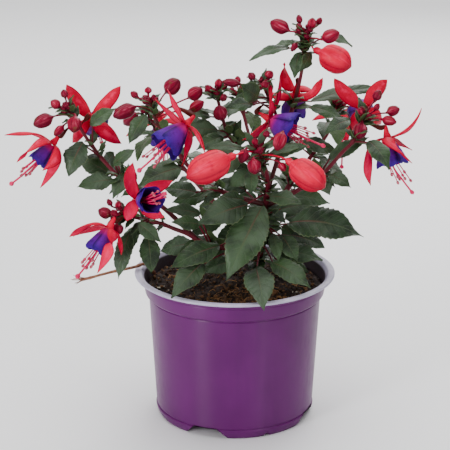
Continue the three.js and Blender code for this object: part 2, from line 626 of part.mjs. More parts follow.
// Pedicel, ovary and tube of a bloom, with the four sepals grown out of the tube's end
function calyxSolid(bloom) {
  const [shoot, share, ovary, , , , tips] = bloom;
  const frame = bloomFrame(bloom);
  const { origin, axis, place, firstSepal } = frame;
  const root = stemPoint(shoot, share);
  const neck = vec(ovary);
  const hump = root.clone().lerp(neck, 0.5);
  hump.z += 0.15 * root.distanceTo(neck);
  const tubeStart = origin.clone().addScaledVector(axis, -tubeLength);
  const middle = neck.clone().lerp(tubeStart, 0.5);
  const points = [root, hump, middle, tubeStart, place(-1.3, 0, 0), origin];
  const radii = [pedicelRadius, pedicelRadius, ovaryRadius, 1.2, tubeRadius, tubeRadius];
  const firstSide = place(0, 1, firstSepal - Math.PI / 4).sub(origin);
  const skin = newSkin();
  const rings = rodRings(points, radii, 8, firstSide).map(skin.number);
  skin.cap([...rings[0]].reverse());
  const last = rings.length - 1;
  rings.forEach((ring, level) => {
    if (level < last) skin.wall(ring, rings[level + 1], () => level === last - 1);
  });
  skin.cap(rings[last]);
  orderedTips(frame, tips).forEach((tip, sepal) => {
    const [lower, upper] = [rings[last - 1], rings[last]];
    const corners = [0, 1, 2].map((step) => (2 * sepal + step) % 8);
    const foot = [...corners.map((corner) => lower[corner]), ...corners.reverse().map((corner) => upper[corner])];
    skin.grow(foot, sepalLoops(frame, firstSepal + sepal * Math.PI / 2, tip, place));
  });
  return skin.solid();
}

// Angle of a point round a bloom's axis
const angleRound = ({ origin, first, second }, point) => {
  const reach = vec(point).sub(origin);
  return Math.atan2(reach.dot(second), reach.dot(first));
};

const orderedTips = (frame, tips) => [...tips].sort((a, b) => angleRound(frame, a) - angleRound(frame, b));

// Four rounded petals wrapped round the axis, every other one in an outer layer
function corollaSolid(bloom) {
  const frame = bloomFrame(bloom);
  const mouthRadius = bloom[5];
  const solids = [];
  for (let petal = 0; petal < petalCount; petal += 1) {
    const layer = petal % 2 ? -petalLayer : petalLayer;
    const faces = [0, 1].map((face) => [0, 0.5, 1].map((share) => petalAngles.map((across) => {
      const angle = THREE.MathUtils.degToRad(360 / petalCount * petal + across);
      const round = 1 - 0.14 * share * (across / petalAngles[0]) ** 2;
      const bell = petalFoot + (mouthRadius - petalFoot) * share ** 0.75;
      const radius = bell + layer * Math.min(1, 2 * share) + (face ? -0.5 : 0.5) * bladeThickness;
      return frame.place(seam + (frame.length - seam) * share * round, radius, angle);
    })));
    solids.push(plateSolid(...faces));
  }
  return fuse(solids);
}

// Filaments with their anthers round the long style, all grown from one short column
function stamensSolid(bloom) {
  const { axis, place, length } = bloomFrame(bloom);
  const [styleTip, mouth] = [vec(bloom[7]), place(length, 0, 0)];
  const lean = styleTip.clone().sub(mouth);
  const points = [place(seam, 0, 0), place(1.6, 0, 0), place(3.4, 0, 0), mouth, styleTip];
  const radii = [columnRadius, columnRadius, styleRadius, styleRadius, 0.9];
  const skin = newSkin();
  const rings = rodRings(points, radii, stamenCount).map(skin.number);
  skin.cap([...rings[0]].reverse());
  rings.slice(1).forEach((ring, level) => skin.wall(rings[level], ring, () => level === 1));
  skin.cap(rings[4]);
  const corners = rodRings(points, radii, stamenCount)[1];
  for (let stamen = 0; stamen < stamenCount; stamen += 1) {
    const next = (stamen + 1) % stamenCount;
    const out = corners[stamen].clone().add(corners[next]).multiplyScalar(0.5).sub(points[1]).normalize();
    const middle = place(0.7 * length, 0, 0).addScaledVector(out, 0.25 * bloom[5]);
    const end = mouth.clone().addScaledVector(out, 0.42 * bloom[5]).addScaledVector(lean, 0.3 + 0.12 * (stamen % 3));
    const way = end.clone().sub(middle).normalize();
    const inward = out.clone().negate();
    const foot = [rings[1][stamen], rings[1][next], rings[2][next], rings[2][stamen]];
    skin.grow(foot, [branchLoop(middle, squared(axis, inward), inward, filamentRadius, 0.7, 2),
      branchLoop(end, way, inward, 0.6, 1.2, 2)]);
  }
  return skin.solid();
}

// Upright lathe solid: a profile from the axis back to the axis turned about +Z
function turnedSolid(profile, sides) {
  const outline = profile.map(([radius, height]) => new THREE.Vector2(radius, height));
  const geometry = new THREE.LatheGeometry(outline, sides);
  geometry.rotateX(Math.PI / 2);
  return toSolid(geometry);
}

// Wedge that cuts an arch or a notch up through the foot ring; sides slope towards the top
function footCutter(angle, width, height) {
  const outline = new THREE.Shape();
  outline.moveTo(-width / 2, -1);
  outline.lineTo(width / 2, -1);
  outline.lineTo(width / 2 - archSlope * height, height);
  outline.lineTo(-width / 2 + archSlope * height, height);
  outline.closePath();
  const wedge = new THREE.ExtrudeGeometry(outline, { depth: 14, bevelEnabled: false });
  wedge.rotateX(Math.PI / 2);
  wedge.translate(0, -footRadius + 8, 0);
  wedge.rotateZ(THREE.MathUtils.degToRad(angle));
  return toSolid(wedge);
}

function drainCutter(place) {
  const hole = new THREE.CylinderGeometry(drainRadius, drainRadius, 8, 10);
  hole.rotateX(Math.PI / 2);
  const angle = 2 * Math.PI * place / drainCount;
  hole.translate(drainRing * Math.cos(angle), drainRing * Math.sin(angle), floorHeight);
  return toSolid(hole);
}

// Radii of the outer and the inner wall below the collar step at a height
const wallRadius = (height) => footRadius + 0.6 + (wallTopRadius - footRadius - 0.6) * height / stepHeight;

const innerRadius = (height) => wallRadius(height) - wallThickness - 0.9 * (1 - height / stepHeight);

// Inner radius of the collar, from just above its step
const liningFoot = stepHeight + 2.2;
const liningRadius = (height) => collarFootRadius - 1.2 * wallThickness + liningSlope * (height - liningFoot);

function potSolid() {
  const lipInner = rimRadius - rimWidth;
  const profile = [
    [0, 0],
    [padRadius, 0],
    [padRadius + 1, floorHeight],
    [footRadius - 4.2, floorHeight],
    [footRadius - 2.2, 0],
    [footRadius - 0.4, 0],
    [footRadius + 0.7, 2],
    [wallRadius(footBand) + 0.5, footBand - 0.5],
    [wallRadius(footBand), footBand],
    [wallRadius(stepHeight), stepHeight],
    [collarFootRadius, stepHeight + 1.6],
    [collarTopRadius, potHeight - rimDrop - 1.6],
    [rimRadius - 0.3, potHeight - rimDrop],
    [rimRadius, potHeight - rimDrop / 2],
    [rimRadius - 0.8, potHeight],
    [lipInner, potHeight - 0.3],
    [liningRadius(potHeight - 3), potHeight - 3],
    [liningRadius(liningFoot), liningFoot],
    [innerRadius(stepHeight), stepHeight - 0.4],
    [innerRadius(floorHeight + 2), floorHeight + 2],
    [footRadius - 2.4, floorHeight + 1],
    [padRadius, floorHeight + 1],
    [padRadius - 1, 1],
    [0, 1],
  ];
  let solid = turnedSolid(profile, potSides);
  for (const angle of archAngles) {
    solid = solid.subtract(footCutter(angle, archWidth, archHeight));
    solid = solid.subtract(footCutter(angle + 45, notchWidth, notchHeight));
  }
  for (let place = 0; place < drainCount; place += 1) solid = solid.subtract(drainCutter(place));
  return solid;
}

// Lumpy height of the compost at a place
const lump = (x, y) => soilLump * (Math.sin(0.31 * x + 1.3) * Math.cos(0.27 * y)
  + 0.6 * Math.sin(0.63 * x - 0.5 * y) + 0.4 * Math.cos(0.9 * y + 0.4 * x));

// Compost that fills the pot from its floor, with a lumpy top and plain holes for what stands in it
function soilSolid() {
  const bottom = floorHeight + 1 + seam;
  const flat = Math.cos(Math.PI / potSides);
  const inside = (height) => (innerRadius(height) - seam) * flat;
  const edge = (liningRadius(liningFoot) - seam) * flat;
  const outline = [[0, bottom], [footRadius - 4, bottom], [inside(12), 12], [inside(stepHeight - 0.6), stepHeight - 0.6],
    [edge, liningFoot + 0.2], [edge, soilLevel - 1], [edge - 5, soilLevel], [37, soilLevel], [24, soilLevel],
    [12, soilLevel], [0, soilLevel]];
  const geometry = new THREE.LatheGeometry(outline.map(([x, y]) => new THREE.Vector2(x, y)), 20);
  geometry.rotateX(Math.PI / 2);
  const position = geometry.attributes.position;
  for (let place = 0; place < position.count; place += 1) {
    const [x, y, z] = [position.getX(place), position.getY(place), position.getZ(place)];
    if (z > soilLevel - 0.1) position.setZ(place, z + lump(x, y));
  }
  const [twigEnd, twigNext, ...twigRest] = twigPoints().slice(0, 4);
  const holePoints = [twigEnd.clone().lerp(twigNext, -0.3), twigNext, ...twigRest];
  const twigHole = rodSolid(holePoints, Array(4).fill(twigRadius + 2 * seam), 6);
  return toSolid(geometry).subtract(stemSolid('main', 0, 0.4, 2 * seam)).subtract(twigHole);
}

const twigPoints = () => smoothPoints(twigPath.map(vec), 7);

function twigSolid() {
  const points = twigPoints();
  const radii = points.map((_, place) => twigRadius - 0.03 * place);
  const end = points[points.length - 1];
  const start = points[points.length - 2];
  const frays = twigFrays.map((tip) => rodSolid([start, end.clone().lerp(vec(tip), 0.4), vec(tip)], [0.5, 0.4, 0.2], 3));
  return fuse([rodSolid(points, radii, 5), ...frays]);
}

const turns = { backLeft: 11.5, backRight: 13.5, backMid: 13.7 };
for (const name of Object.keys(turns)) shoots[name].leaves = leafPairs(name, turns[name]);

const group = new THREE.Group();
group.add(toMesh('pot', potSolid(), 0x6b3470, 0.4));
group.add(toMesh('soil', soilSolid(), 0x2a1c14, 0.95));
group.add(toMesh('dry_twig', twigSolid(), 0x8a4a32, 0.8));
for (const name of Object.keys(shoots)) {
  group.add(toMesh(`shoot_${name}`, shootSolid(name), 0x46603f, 0.6));
  group.add(toMesh(`buds_${name}`, budsSolid(name), 0xa23350, 0.45));
}
blooms.forEach((bloom, place) => {
  const name = `bloom_${place + 1}`;
  group.add(toMesh(`${name}_calyx`, cutToStem(calyxSolid(bloom), bloom[0]), 0xe2323f, 0.45));
  group.add(toMesh(`${name}_corolla`, corollaSolid(bloom), 0x4b2396, 0.55));
  group.add(toMesh(`${name}_stamens`, stamensSolid(bloom), 0xdd3c84, 0.5));
});

export default group;
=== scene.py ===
import math

import bmesh
import bpy
import numpy as np
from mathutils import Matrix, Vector


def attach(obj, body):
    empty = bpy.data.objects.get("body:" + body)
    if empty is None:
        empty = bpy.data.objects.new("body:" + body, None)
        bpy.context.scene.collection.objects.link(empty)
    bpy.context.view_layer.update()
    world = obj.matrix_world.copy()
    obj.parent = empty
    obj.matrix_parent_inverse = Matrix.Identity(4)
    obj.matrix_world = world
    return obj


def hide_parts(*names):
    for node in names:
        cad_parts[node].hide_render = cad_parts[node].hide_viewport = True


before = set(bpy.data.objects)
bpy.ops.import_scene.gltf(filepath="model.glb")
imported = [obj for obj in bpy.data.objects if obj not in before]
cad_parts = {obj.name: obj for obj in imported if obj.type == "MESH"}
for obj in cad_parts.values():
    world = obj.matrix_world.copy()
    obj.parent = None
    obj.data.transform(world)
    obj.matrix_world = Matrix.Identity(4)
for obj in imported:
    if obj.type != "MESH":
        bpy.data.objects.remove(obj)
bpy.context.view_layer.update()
print("frame loaded:", len(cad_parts), "nodes")

mm = 0.001
seam = 0.3  # gap between pieces that lie against each other
pedicelRadius = 0.5
goldenShare = 0.618  # sets neighbours apart in phase and tone

# A shoot has its parent and the place on it, the path of its stem, the radius at foot and tip, and the
# share of the path where the flowering tip begins.
# A leaf is: share of the stem, foot of the blade, tip, width, way the upper face looks, rise of the midrib.
# A bud is: share of the stem, neck, tip, radius.
shoots = {
  "main": {
    "path": [[13, 18, 55], [13, 15, 82], [16, 3, 103], [17, -5, 117], [18, -9, 133], [19, -13, 146],
      [18, -19, 155], [15, -26, 164], [13, -30, 171]],
    "radii": [2.3, 1.1],
    "split": 0.93,
    "leaves": [
      [0.52, [31, -15, 123], [74, -26, 118], 23, [0, -0.6, 0.8], 7],
      [0.60, [16, -20, 135], [-5, -50, 100], 22, [-0.1, -0.85, 0.5], 4],
      [0.50, [-9, -30, 114], [-37, -43, 105], 15, [-0.1, -0.7, 0.7], 3],
      [0.44, [-18, -36, 106], [-36, -57, 92], 14, [-0.2, -0.8, 0.6], 3],
      [0.40, [12, -34, 102], [16, -66, 88], 17, [0, -0.75, 0.66], 4],
      [0.42, [21, -30, 104], [43, -46, 94], 14, [0.2, -0.7, 0.7], 3],
      [0.56, [22, -22, 119], [25, -34, 106], 8, [0.1, -0.9, 0.4], 1],
      [0.49, [29, 2, 117], [37, 1, 105], 10, [0.1, -0.9, 0.4], 1],
      [0.54, [27, -19, 117], [36, -34, 106], 11, [0.1, -0.9, 0.5], 1],
      [0.47, [33, -4, 112], [53, -10, 106], 14, [0.1, -0.6, 0.8], 2],
      [0.43, [26, -14, 105], [51, -24, 103], 14, [0, -0.6, 0.8], 3],
      [0.72, [9, -12, 141], [10, -19, 155], 7, [0, -0.9, -0.2], 1],
      [0.70, [20, -18, 140], [38, -26, 138], 11, [0, -0.6, 0.8], 2],
      [0.71, [7, -25, 137], [-21, -39, 130], 18, [0, -0.7, 0.7], 3],
      [0.77, [9, -11, 153], [-4, -14, 145], 10, [0, -0.9, 0.4], 1],
      [0.53, [-6, 0, 122], [-27, -2, 111], 11, [-0.1, -0.8, 0.6], 2],
      [0.59, [26, -1, 127], [48, 4, 128], 11, [0, -0.7, 0.7], 2],
      [0.48, [5, 6, 116], [-12, 2, 101], 12, [0, -0.8, 0.6], 2],
      [0.60, [34, 6, 134], [57, 14, 126], 11, [0, -0.7, 0.7], 2],
      [0.90, [18, -24, 166], [42, -24, 172], 9, [0, -0.6, 0.8], 1],
      [0.28, [3, 24, 93], [-20, 34, 93], 13, [0, -0.5, 0.85], 3],
      [0.30, [24, 22, 97], [47, 32, 95], 14, [0, -0.5, 0.85], 3],
      [0.45, [2, 12, 116], [-20, 22, 122], 12, [0, -0.6, 0.8], 2],
      [0.46, [30, 10, 118], [50, 20, 116], 12, [0, -0.6, 0.8], 2],
      [0.31, [2, 6, 93], [-22, -4, 88], 12, [0, -0.7, 0.7], 2],
      [0.32, [26, 6, 94], [44, 0, 87], 12, [0, -0.7, 0.7], 2],
      [0.61, [7, 5, 137], [-11, 9, 141], 12, [0, -0.7, 0.7], 2],
      [0.67, [9, 0, 146], [0, 5, 155], 8, [0, -0.8, 0.5], 1],
    ],
    "buds": [
      [0.98, [-4, -44, 170], [-27, -52, 161], 8.2],
      [0.97, [32, -34, 164], [50, -44, 153], 7.8],
      [0.99, [27, -28, 181], [23, -34, 172], 3.7],
      [0.95, [6, -35, 173], [3, -39, 166], 3],
      [0.96, [10, -37, 168], [11, -41, 160], 3.7],
      [0.94, [25, -31, 164], [28, -34, 160], 2.2],
      [0.98, [17, -29, 178], [18, -29, 182], 2],
      [0.98, [11, -33, 175], [11, -35, 179], 1.8],
    ],
  },
  "top": {
    "from": ["main", 0.72],
    "path": [[24, -2, 155], [28, 5, 168], [36, 8, 195], [39, 5, 212], [40, 2, 226], [40, 0, 232]],
    "radii": [1.4, 0.9],
    "split": 0.93,
    "leaves": [
      [0.91, [31, 2, 223], [8, -6, 217], 7, [0, -0.5, 0.9], 3],
      [0.89, [33, 5, 225], [23, 9, 223], 6, [0, -0.5, 0.9], 1],
      [0.90, [49, 4, 229], [67, 0, 224], 7, [0, -0.5, 0.9], 3],
      [0.86, [37, -1, 221], [34, -5, 207], 9, [-0.5, -0.85, 0], 1],
      [0.87, [43, -1, 221], [37, -9, 212], 8, [0.6, -0.8, 0.1], 1],
      [0.20, [31, 1, 158], [41, -3, 149], 8, [0.2, -0.9, 0.3], 1],
      [0.28, [39, 8, 166], [61, 12, 158], 10, [0, -0.7, 0.7], 2],
      [0.52, [44, 3, 188], [63, -5, 182], 9, [0, -0.6, 0.8], 2],
      [0.56, [44, 16, 188], [92, 46, 189], 9, [0, -0.6, 0.8], 4],
    ],
    "buds": [
      [0.975, [49, -1, 221], [66, -8, 214], 7.6],
      [0.98, [31, 1, 233], [20, 2, 238], 4],
      [0.99, [43, -2, 235], [44, -3, 241], 2.6],
      [0.99, [37, 1, 237], [36, 2, 242], 1.8],
      [0.98, [47, 3, 236], [49, 4, 240], 1.8],
      [0.96, [49, -9, 230], [58, -15, 235], 3.8],
      [0.94, [35, -4, 227], [32, -7, 223], 1.8],
    ],
  },
  "right": {
    "from": ["main", 0.64],
    "path": [[38, -12, 143], [51, -14, 153], [62, -12, 165], [68, -10, 171], [70, -8, 177], [75, -5, 184]],
    "radii": [1.5, 0.9],
    "split": 0.86,
    "leaves": [
      [0.82, [66, -12, 184], [51, -20, 178], 10, [-0.1, -0.6, 0.8], 2],
      [0.45, [54, -9, 160], [78, -1, 171], 9, [0, -0.8, 0.6], 2],
      [0.80, [76, -18, 173], [87, -32, 160], 12, [0.3, -0.8, 0.5], 3],
      [0.44, [54, -18, 153], [66, -27, 148], 9, [0, -0.7, 0.7], 2],
      [0.42, [50, -19, 150], [54, -28, 144], 8, [0, -0.9, 0.4], 1],
    ],
    "buds": [
      [0.92, [73, -9, 182], [71, -13, 173], 4],
      [0.99, [87, -7, 187], [94, -10, 190], 3],
      [0.97, [84, -10, 184], [92, -14, 183], 2.8],
      [0.98, [80, -6, 194], [83, -7, 200], 2.7],
      [0.98, [80, -9, 189], [82, -11, 193], 1.8],
      [0.94, [72, -11, 187], [71, -13, 191], 1.5],
    ],
  },
  "low": {
    "from": ["main", 0.37],
    "path": [[-1, -6, 105], [-15, -18, 110], [-28, -22, 119], [-34, -24, 122], [-43, -28, 127],
      [-54, -32, 131], [-64, -35, 135]],
    "radii": [1.9, 0.9],
    "split": 0.91,
    "leaves": [
      [0.38, [-20, -20, 130], [-40, -24, 134], 9, [0, -0.7, 0.7], 2],
      [0.30, [-20, -13, 112], [-33, -20, 98], 11, [-0.1, -0.8, 0.6], 2],
      [0.24, [-25, 4, 104], [-45, 10, 97], 13, [0, -0.7, 0.7], 2],
      [0.40, [-20, -30, 127], [-36, -38, 131], 9, [0, -0.8, 0.6], 1],
      [0.86, [-60, -33, 124], [-67, -39, 97], 11, [-0.4, -0.9, 0.2], 2],
      [0.80, [-55, -28, 126], [-66, -24, 106], 9, [-0.3, -0.9, 0.2], 2],
      [0.74, [-50, -32, 121], [-48, -38, 100], 12, [0.2, -0.95, 0.2], 2],
      [0.83, [-55, -38, 130], [-42, -44, 121], 9, [0.1, -0.8, 0.6], 1],
    ],
    "buds": [
      [0.96, [-70, -39, 135], [-77, -41, 139], 3.2],
      [0.98, [-67, -42, 136], [-69, -46, 140], 2],
      [0.98, [-66, -37, 139], [-66, -38, 143], 2],
      [0.97, [-70, -36, 140], [-72, -37, 144], 1.6],
      [0.95, [-66, -39, 131], [-67, -41, 124], 3.2],
    ],
  },
  "left": {
    "from": ["low", 0.5],
    "path": [[-40, -18, 132], [-55, -8, 141], [-70, -3, 150], [-85, 0, 168], [-92, 0, 180], [-97, 0, 188]],
    "radii": [1.5, 0.9],
    "split": 0.86,
    "leaves": [
      [0.68, [-88, -5, 169], [-96, -14, 151], 15, [-0.4, -0.9, 0.2], 2],
      [0.48, [-73, 1, 148], [-93, 10, 156], 13, [-0.2, -0.7, 0.7], 2],
      [0.45, [-71, -4, 146], [-92, -9, 143], 12, [-0.1, -0.7, 0.7], 2],
      [0.55, [-71, -6, 156], [-57, -13, 167], 8, [-0.3, -0.8, 0.5], 1],
      [0.52, [-71, 5, 160], [-77, 12, 149], 9, [-0.3, -0.8, 0.4], 1],
      [0.76, [-84, -1, 178], [-69, 4, 187], 9, [0, -0.7, 0.7], 2],
      [0.40, [-64, -5, 150], [-71, -12, 137], 9, [-0.3, -0.9, 0.3], 1],
    ],
    "buds": [
      [0.95, [-105, -4, 184], [-116, -8, 180], 4],
      [0.96, [-92, -6, 185], [-93, -10, 176], 4],
      [0.99, [-101, -2, 189], [-106, -3, 193], 2.8],
      [0.99, [-98, 0, 194], [-99, 0, 199], 2.2],
      [0.93, [-99, -5, 179], [-104, -9, 174], 2.4],
    ],
  },
  "upleft": {
    "from": ["main", 0.65],
    "path": [[0, -14, 139], [-16, -14, 146], [-29, -12, 159], [-39, -8, 173], [-46, -5, 183], [-49, -3, 192]],
    "radii": [1.6, 0.9],
    "split": 0.86,
    "leaves": [
      [0.12, [5, -18, 138], [-9, -24, 142], 8, [0, -0.8, 0.5], 1],
      [0.46, [-31, -17, 157], [-56, -25, 148], 16, [-0.1, -0.7, 0.7], 3],
      [0.80, [-51, -7, 186], [-61, -13, 170], 10, [-0.3, -0.9, 0.3], 2],
      [0.60, [-32, -4, 172], [-18, 8, 180], 12, [0.1, -0.7, 0.7], 2],
      [0.32, [-22, -4, 138], [-42, 4, 138], 12, [0, -0.7, 0.7], 2],
      [0.29, [-16, 2, 134], [-37, 3, 130], 10, [0, -0.7, 0.7], 2],
    ],
    "buds": [
      [0.93, [-40, -4, 198], [-32, -6, 206], 4.6],
      [0.90, [-27, -4, 195], [-19, -7, 201], 3.9],
      [0.90, [-26, -18, 191], [-18, -22, 197], 3],
      [0.95, [-57, -4, 190], [-70, -8, 185], 4.2],
      [0.99, [-56, -2, 195], [-60, -2, 198], 2],
      [0.98, [-50, -2, 197], [-50, -2, 201], 2.1],
    ],
  },
  "mid": {
    "from": ["main", 0.8],
    "path": [[7, -10, 163], [-4, -6, 174], [-8, -5, 187], [-11, -5, 198]],
    "radii": [1.2, 0.9],
    "split": 0.82,
    "leaves": [
      [0.40, [0, -14, 168], [-17, -20, 167], 9, [0, -0.8, 0.6], 1],
      [0.55, [-7, -12, 174], [-22, -26, 170], 10, [-0.1, -0.8, 0.6], 2],
      [0.60, [-10, -8, 177], [-30, -14, 179], 12, [0, -0.8, 0.6], 1],
      [0.46, [1, 2, 179], [-12, 8, 167], 9, [0, -0.8, 0.5], 1],
      [0.74, [-14, -5, 184], [-30, -9, 188], 8, [0, -0.6, 0.8], 2],
    ],
    "buds": [
      [0.88, [-8, -12, 184], [-9, -16, 193], 4],
      [0.98, [-14, -6, 199], [-16, -7, 203], 2.1],
      [0.98, [-10, -7, 202], [-9, -8, 207], 2.2],
      [0.94, [-7, -10, 195], [-6, -13, 199], 2],
    ],
  },
  "upper": {
    "from": ["top", 0.29],
    "path": [[25, 4, 180], [20, 2, 192], [16, -4, 203]],
    "radii": [1, 0.8],
    "split": 0.8,
    "leaves": [
      [0.66, [10, -9, 192], [-5, -12, 191], 9, [0, -0.6, 0.8], 2],
      [0.72, [13, -9, 196], [3, -18, 206], 12, [0, -0.9, 0.4], 1],
      [0.50, [10, 9, 193], [-4, 13, 186], 8, [0, -0.7, 0.6], 1],
    ],
    "buds": [
      [0.98, [11, -5, 206], [8, -6, 210], 2.2],
      [0.96, [17, -10, 203], [17, -13, 206], 2.2],
      [0.98, [18, -5, 207], [21, -6, 211], 2.6],
      [0.90, [3, -8, 204], [-7, -10, 206], 2.4],
    ],
  },
  "backLeft": {
    "from": ["main", 0.34],
    "path": [[-4, 24, 114], [-26, 42, 134], [-46, 54, 156], [-54, 60, 172]],
    "radii": [1.6, 0.9],
    "split": 0.9,
    "leaves": [],
    "buds": [
      [0.95, [-60, 62, 170], [-69, 66, 162], 4],
      [0.98, [-52, 66, 176], [-50, 72, 170], 3],
      [0.98, [-55, 60, 177], [-56, 60, 182], 2],
    ],
  },
  "backRight": {
    "from": ["main", 0.4],
    "path": [[25, 20, 122], [42, 38, 142], [58, 48, 162], [64, 52, 178]],
    "radii": [1.6, 0.9],
    "split": 0.9,
    "leaves": [],
    "buds": [
      [0.95, [70, 54, 176], [78, 58, 167], 4],
      [0.98, [62, 58, 182], [58, 66, 180], 3],
      [0.98, [65, 52, 183], [66, 52, 188], 2],
    ],
  },
  "backMid": {
    "from": ["main", 0.55],
    "path": [[14, 24, 142], [8, 44, 164], [2, 58, 184]],
    "radii": [1.4, 0.9],
    "split": 0.9,
    "leaves": [],
    "buds": [
      [0.95, [8, 64, 182], [13, 70, 174], 4],
      [0.98, [-4, 62, 188], [-12, 66, 186], 3],
      [0.98, [2, 59, 189], [2, 60, 194], 2],
    ],
  },
}

# Open blooms: shoot and share where the pedicel leaves, ovary, throat, middle of the mouth,
# radius of the mouth, the four sepal tips and the tip of the style.
blooms = [
  ["left", 0.90, [-101, -5, 172], [-106, -6, 168], [-115, -10, 158], 6,
    [[-133, -8, 174], [-125, -20, 161], [-110, -23, 157], [-115, 3, 139]], [-130, -14, 146]],
  ["left", 0.88, [-87, 3, 180], [-84, 8, 180], [-82, 19, 173], 8,
    [[-98, 9, 200], [-67, 14, 198], [-67, 11, 164], [-96, 13, 164]], [-79, 32, 157]],
  ["upleft", 0.915, [-25, -26, 191], [-28, -32, 186], [-40, -40, 175], 10,
    [[-38, -30, 206], [-45, -24, 199], [-17, -44, 173], [-30, -34, 163]], [-54, -46, 163]],
  ["low", 0.94, [-58, -33, 140], [-54, -38, 144], [-46, -51, 148], 8,
    [[-57, -42, 167], [-35, -44, 157], [-40, -45, 136], [-61, -46, 134]], [-38, -72, 158]],
  ["low", 0.93, [-67, -44, 132], [-71, -48, 130], [-78, -53, 118], 7,
    [[-93, -50, 126], [-92, -40, 123], [-77, -60, 108], [-64, -52, 116]], [-89, -56, 104]],
  ["upper", 0.6, [11, -2, 187], [20, -6, 183], [33, -10, 177], 11.5,
    [[19, 1, 204], [26, 4, 206], [4, -16, 173], [17, 6, 169]], [51, -18, 170]],
  ["top", 0.66, [37, 11, 204], [36, 14, 194], [35, 20, 181], 8,
    [[29, 14, 212], [51, 9, 204], [20, 22, 193], [42, 30, 192]], [33, 32, 158]],
  ["right", 0.97, [76, 7, 185], [76, 13, 185], [75, 26, 180], 8,
    [[58, 12, 203], [89, 13, 202], [72, 22, 169], [87, 22, 173]], [73, 46, 172]],
  ["right", 0.93, [82, -5, 177], [88, -8, 172], [91, -12, 157], 9.5,
    [[107, -8, 190], [104, 3, 162], [79, -9, 144], [101, -22, 161]], [103, -15, 141]],
  ["backLeft", 0.96, [-48, 76, 166], [-47, 82, 160], [-46, 87, 145], 8,
    [[-69, 82, 150], [-48, 64, 148], [-27, 88, 154], [-46, 104, 156]], [-45, 91, 120]],
  ["backRight", 0.96, [66, 78, 172], [68, 84, 166], [70, 89, 151], 8,
    [[91, 86, 155], [72, 73, 147], [50, 88, 159], [68, 106, 161]], [70, 93, 126]],
]


def vec(point):
    return np.array(point, float)


def unit(direction):
    return direction / np.linalg.norm(direction, axis=-1, keepdims=True)


def squareTo(direction, axis):
    # direction made square to an axis
    dots = np.sum(direction * axis, axis=-1, keepdims=True)
    return unit(direction - dots * axis)


def roundSteps(count):
    # angles of even steps round a circle
    return np.linspace(0, 2 * math.pi, count, endpoint=False)


def bentLine(start, crest, end, steps):
    # even steps from start to end on a curve that is pulled towards crest
    t = np.linspace(0, 1, steps)[:, None]
    return (1 - t) ** 2 * start + 2 * t * (1 - t) * crest + t**2 * end


def sheetOn(midline, face, reach, lift):
    # grid of points along a midline and the way they look: reach goes sideways and lift goes towards the face
    tangent = unit(np.gradient(midline, axis=0))
    normal = squareTo(np.broadcast_to(face, midline.shape), tangent)
    side, normal = np.cross(tangent, normal)[:, None], normal[:, None]
    return midline[:, None] + side * reach[..., None] + normal * lift[..., None], normal


def stacked(*values):
    return np.stack(np.broadcast_arrays(*values), axis=-1)


def smoothPath(corners, steps=8):
    # smooth curve through all the corners, without overshoot where they lie close
    corners = [vec(corner) for corner in corners]
    points = [2 * corners[0] - corners[1], *corners, 2 * corners[-1] - corners[-2]]
    path = []
    for before, start, end, after in zip(points, points[1:], points[2:], points[3:]):
        pairs = ((before, start), (start, end), (end, after))
        spans = [max(1e-6, np.linalg.norm(q - p)) ** 0.5 for p, q in pairs]
        leave = ((start - before) / spans[0] - (end - before) / (spans[0] + spans[1])
                 + (end - start) / spans[1])
        reach = (end - start) / spans[1] - (after - start) / (spans[1] + spans[2]) + (after - end) / spans[2]
        leave, reach = leave * spans[1], reach * spans[1]
        for t in np.linspace(0, 1, steps, endpoint=False):
            path.append((2 * t**3 - 3 * t**2 + 1) * start + (t**3 - 2 * t**2 + t) * leave
                        + (3 * t**2 - 2 * t**3) * end + (t**3 - t**2) * reach)
    return np.array([*path, corners[-1]])


def curveAt(table, shares):
    # smooth value between the pairs of a table, such as the girth of a bud along its length
    dense = smoothPath(table, 12)
    return np.interp(shares, dense[:, 0], dense[:, 1])


def sharesOf(path):
    steps = np.linalg.norm(np.diff(path, axis=0), axis=1)
    walked = np.concatenate([[0], np.cumsum(steps)])
    return walked / walked[-1]


def seededRandom(seed):
    # the part's own small repeatable random numbers
    state = int(seed) & 0xFFFFFFFF
    while True:
        state = (state + 0x6D2B79F5) & 0xFFFFFFFF
        mixed = (state ^ (state >> 15)) * (state | 1) & 0xFFFFFFFF
        mixed ^= (mixed + ((mixed ^ (mixed >> 7)) * (mixed | 61) & 0xFFFFFFFF)) & 0xFFFFFFFF
        yield ((mixed ^ (mixed >> 14)) & 0xFFFFFFFF) / 4294967296


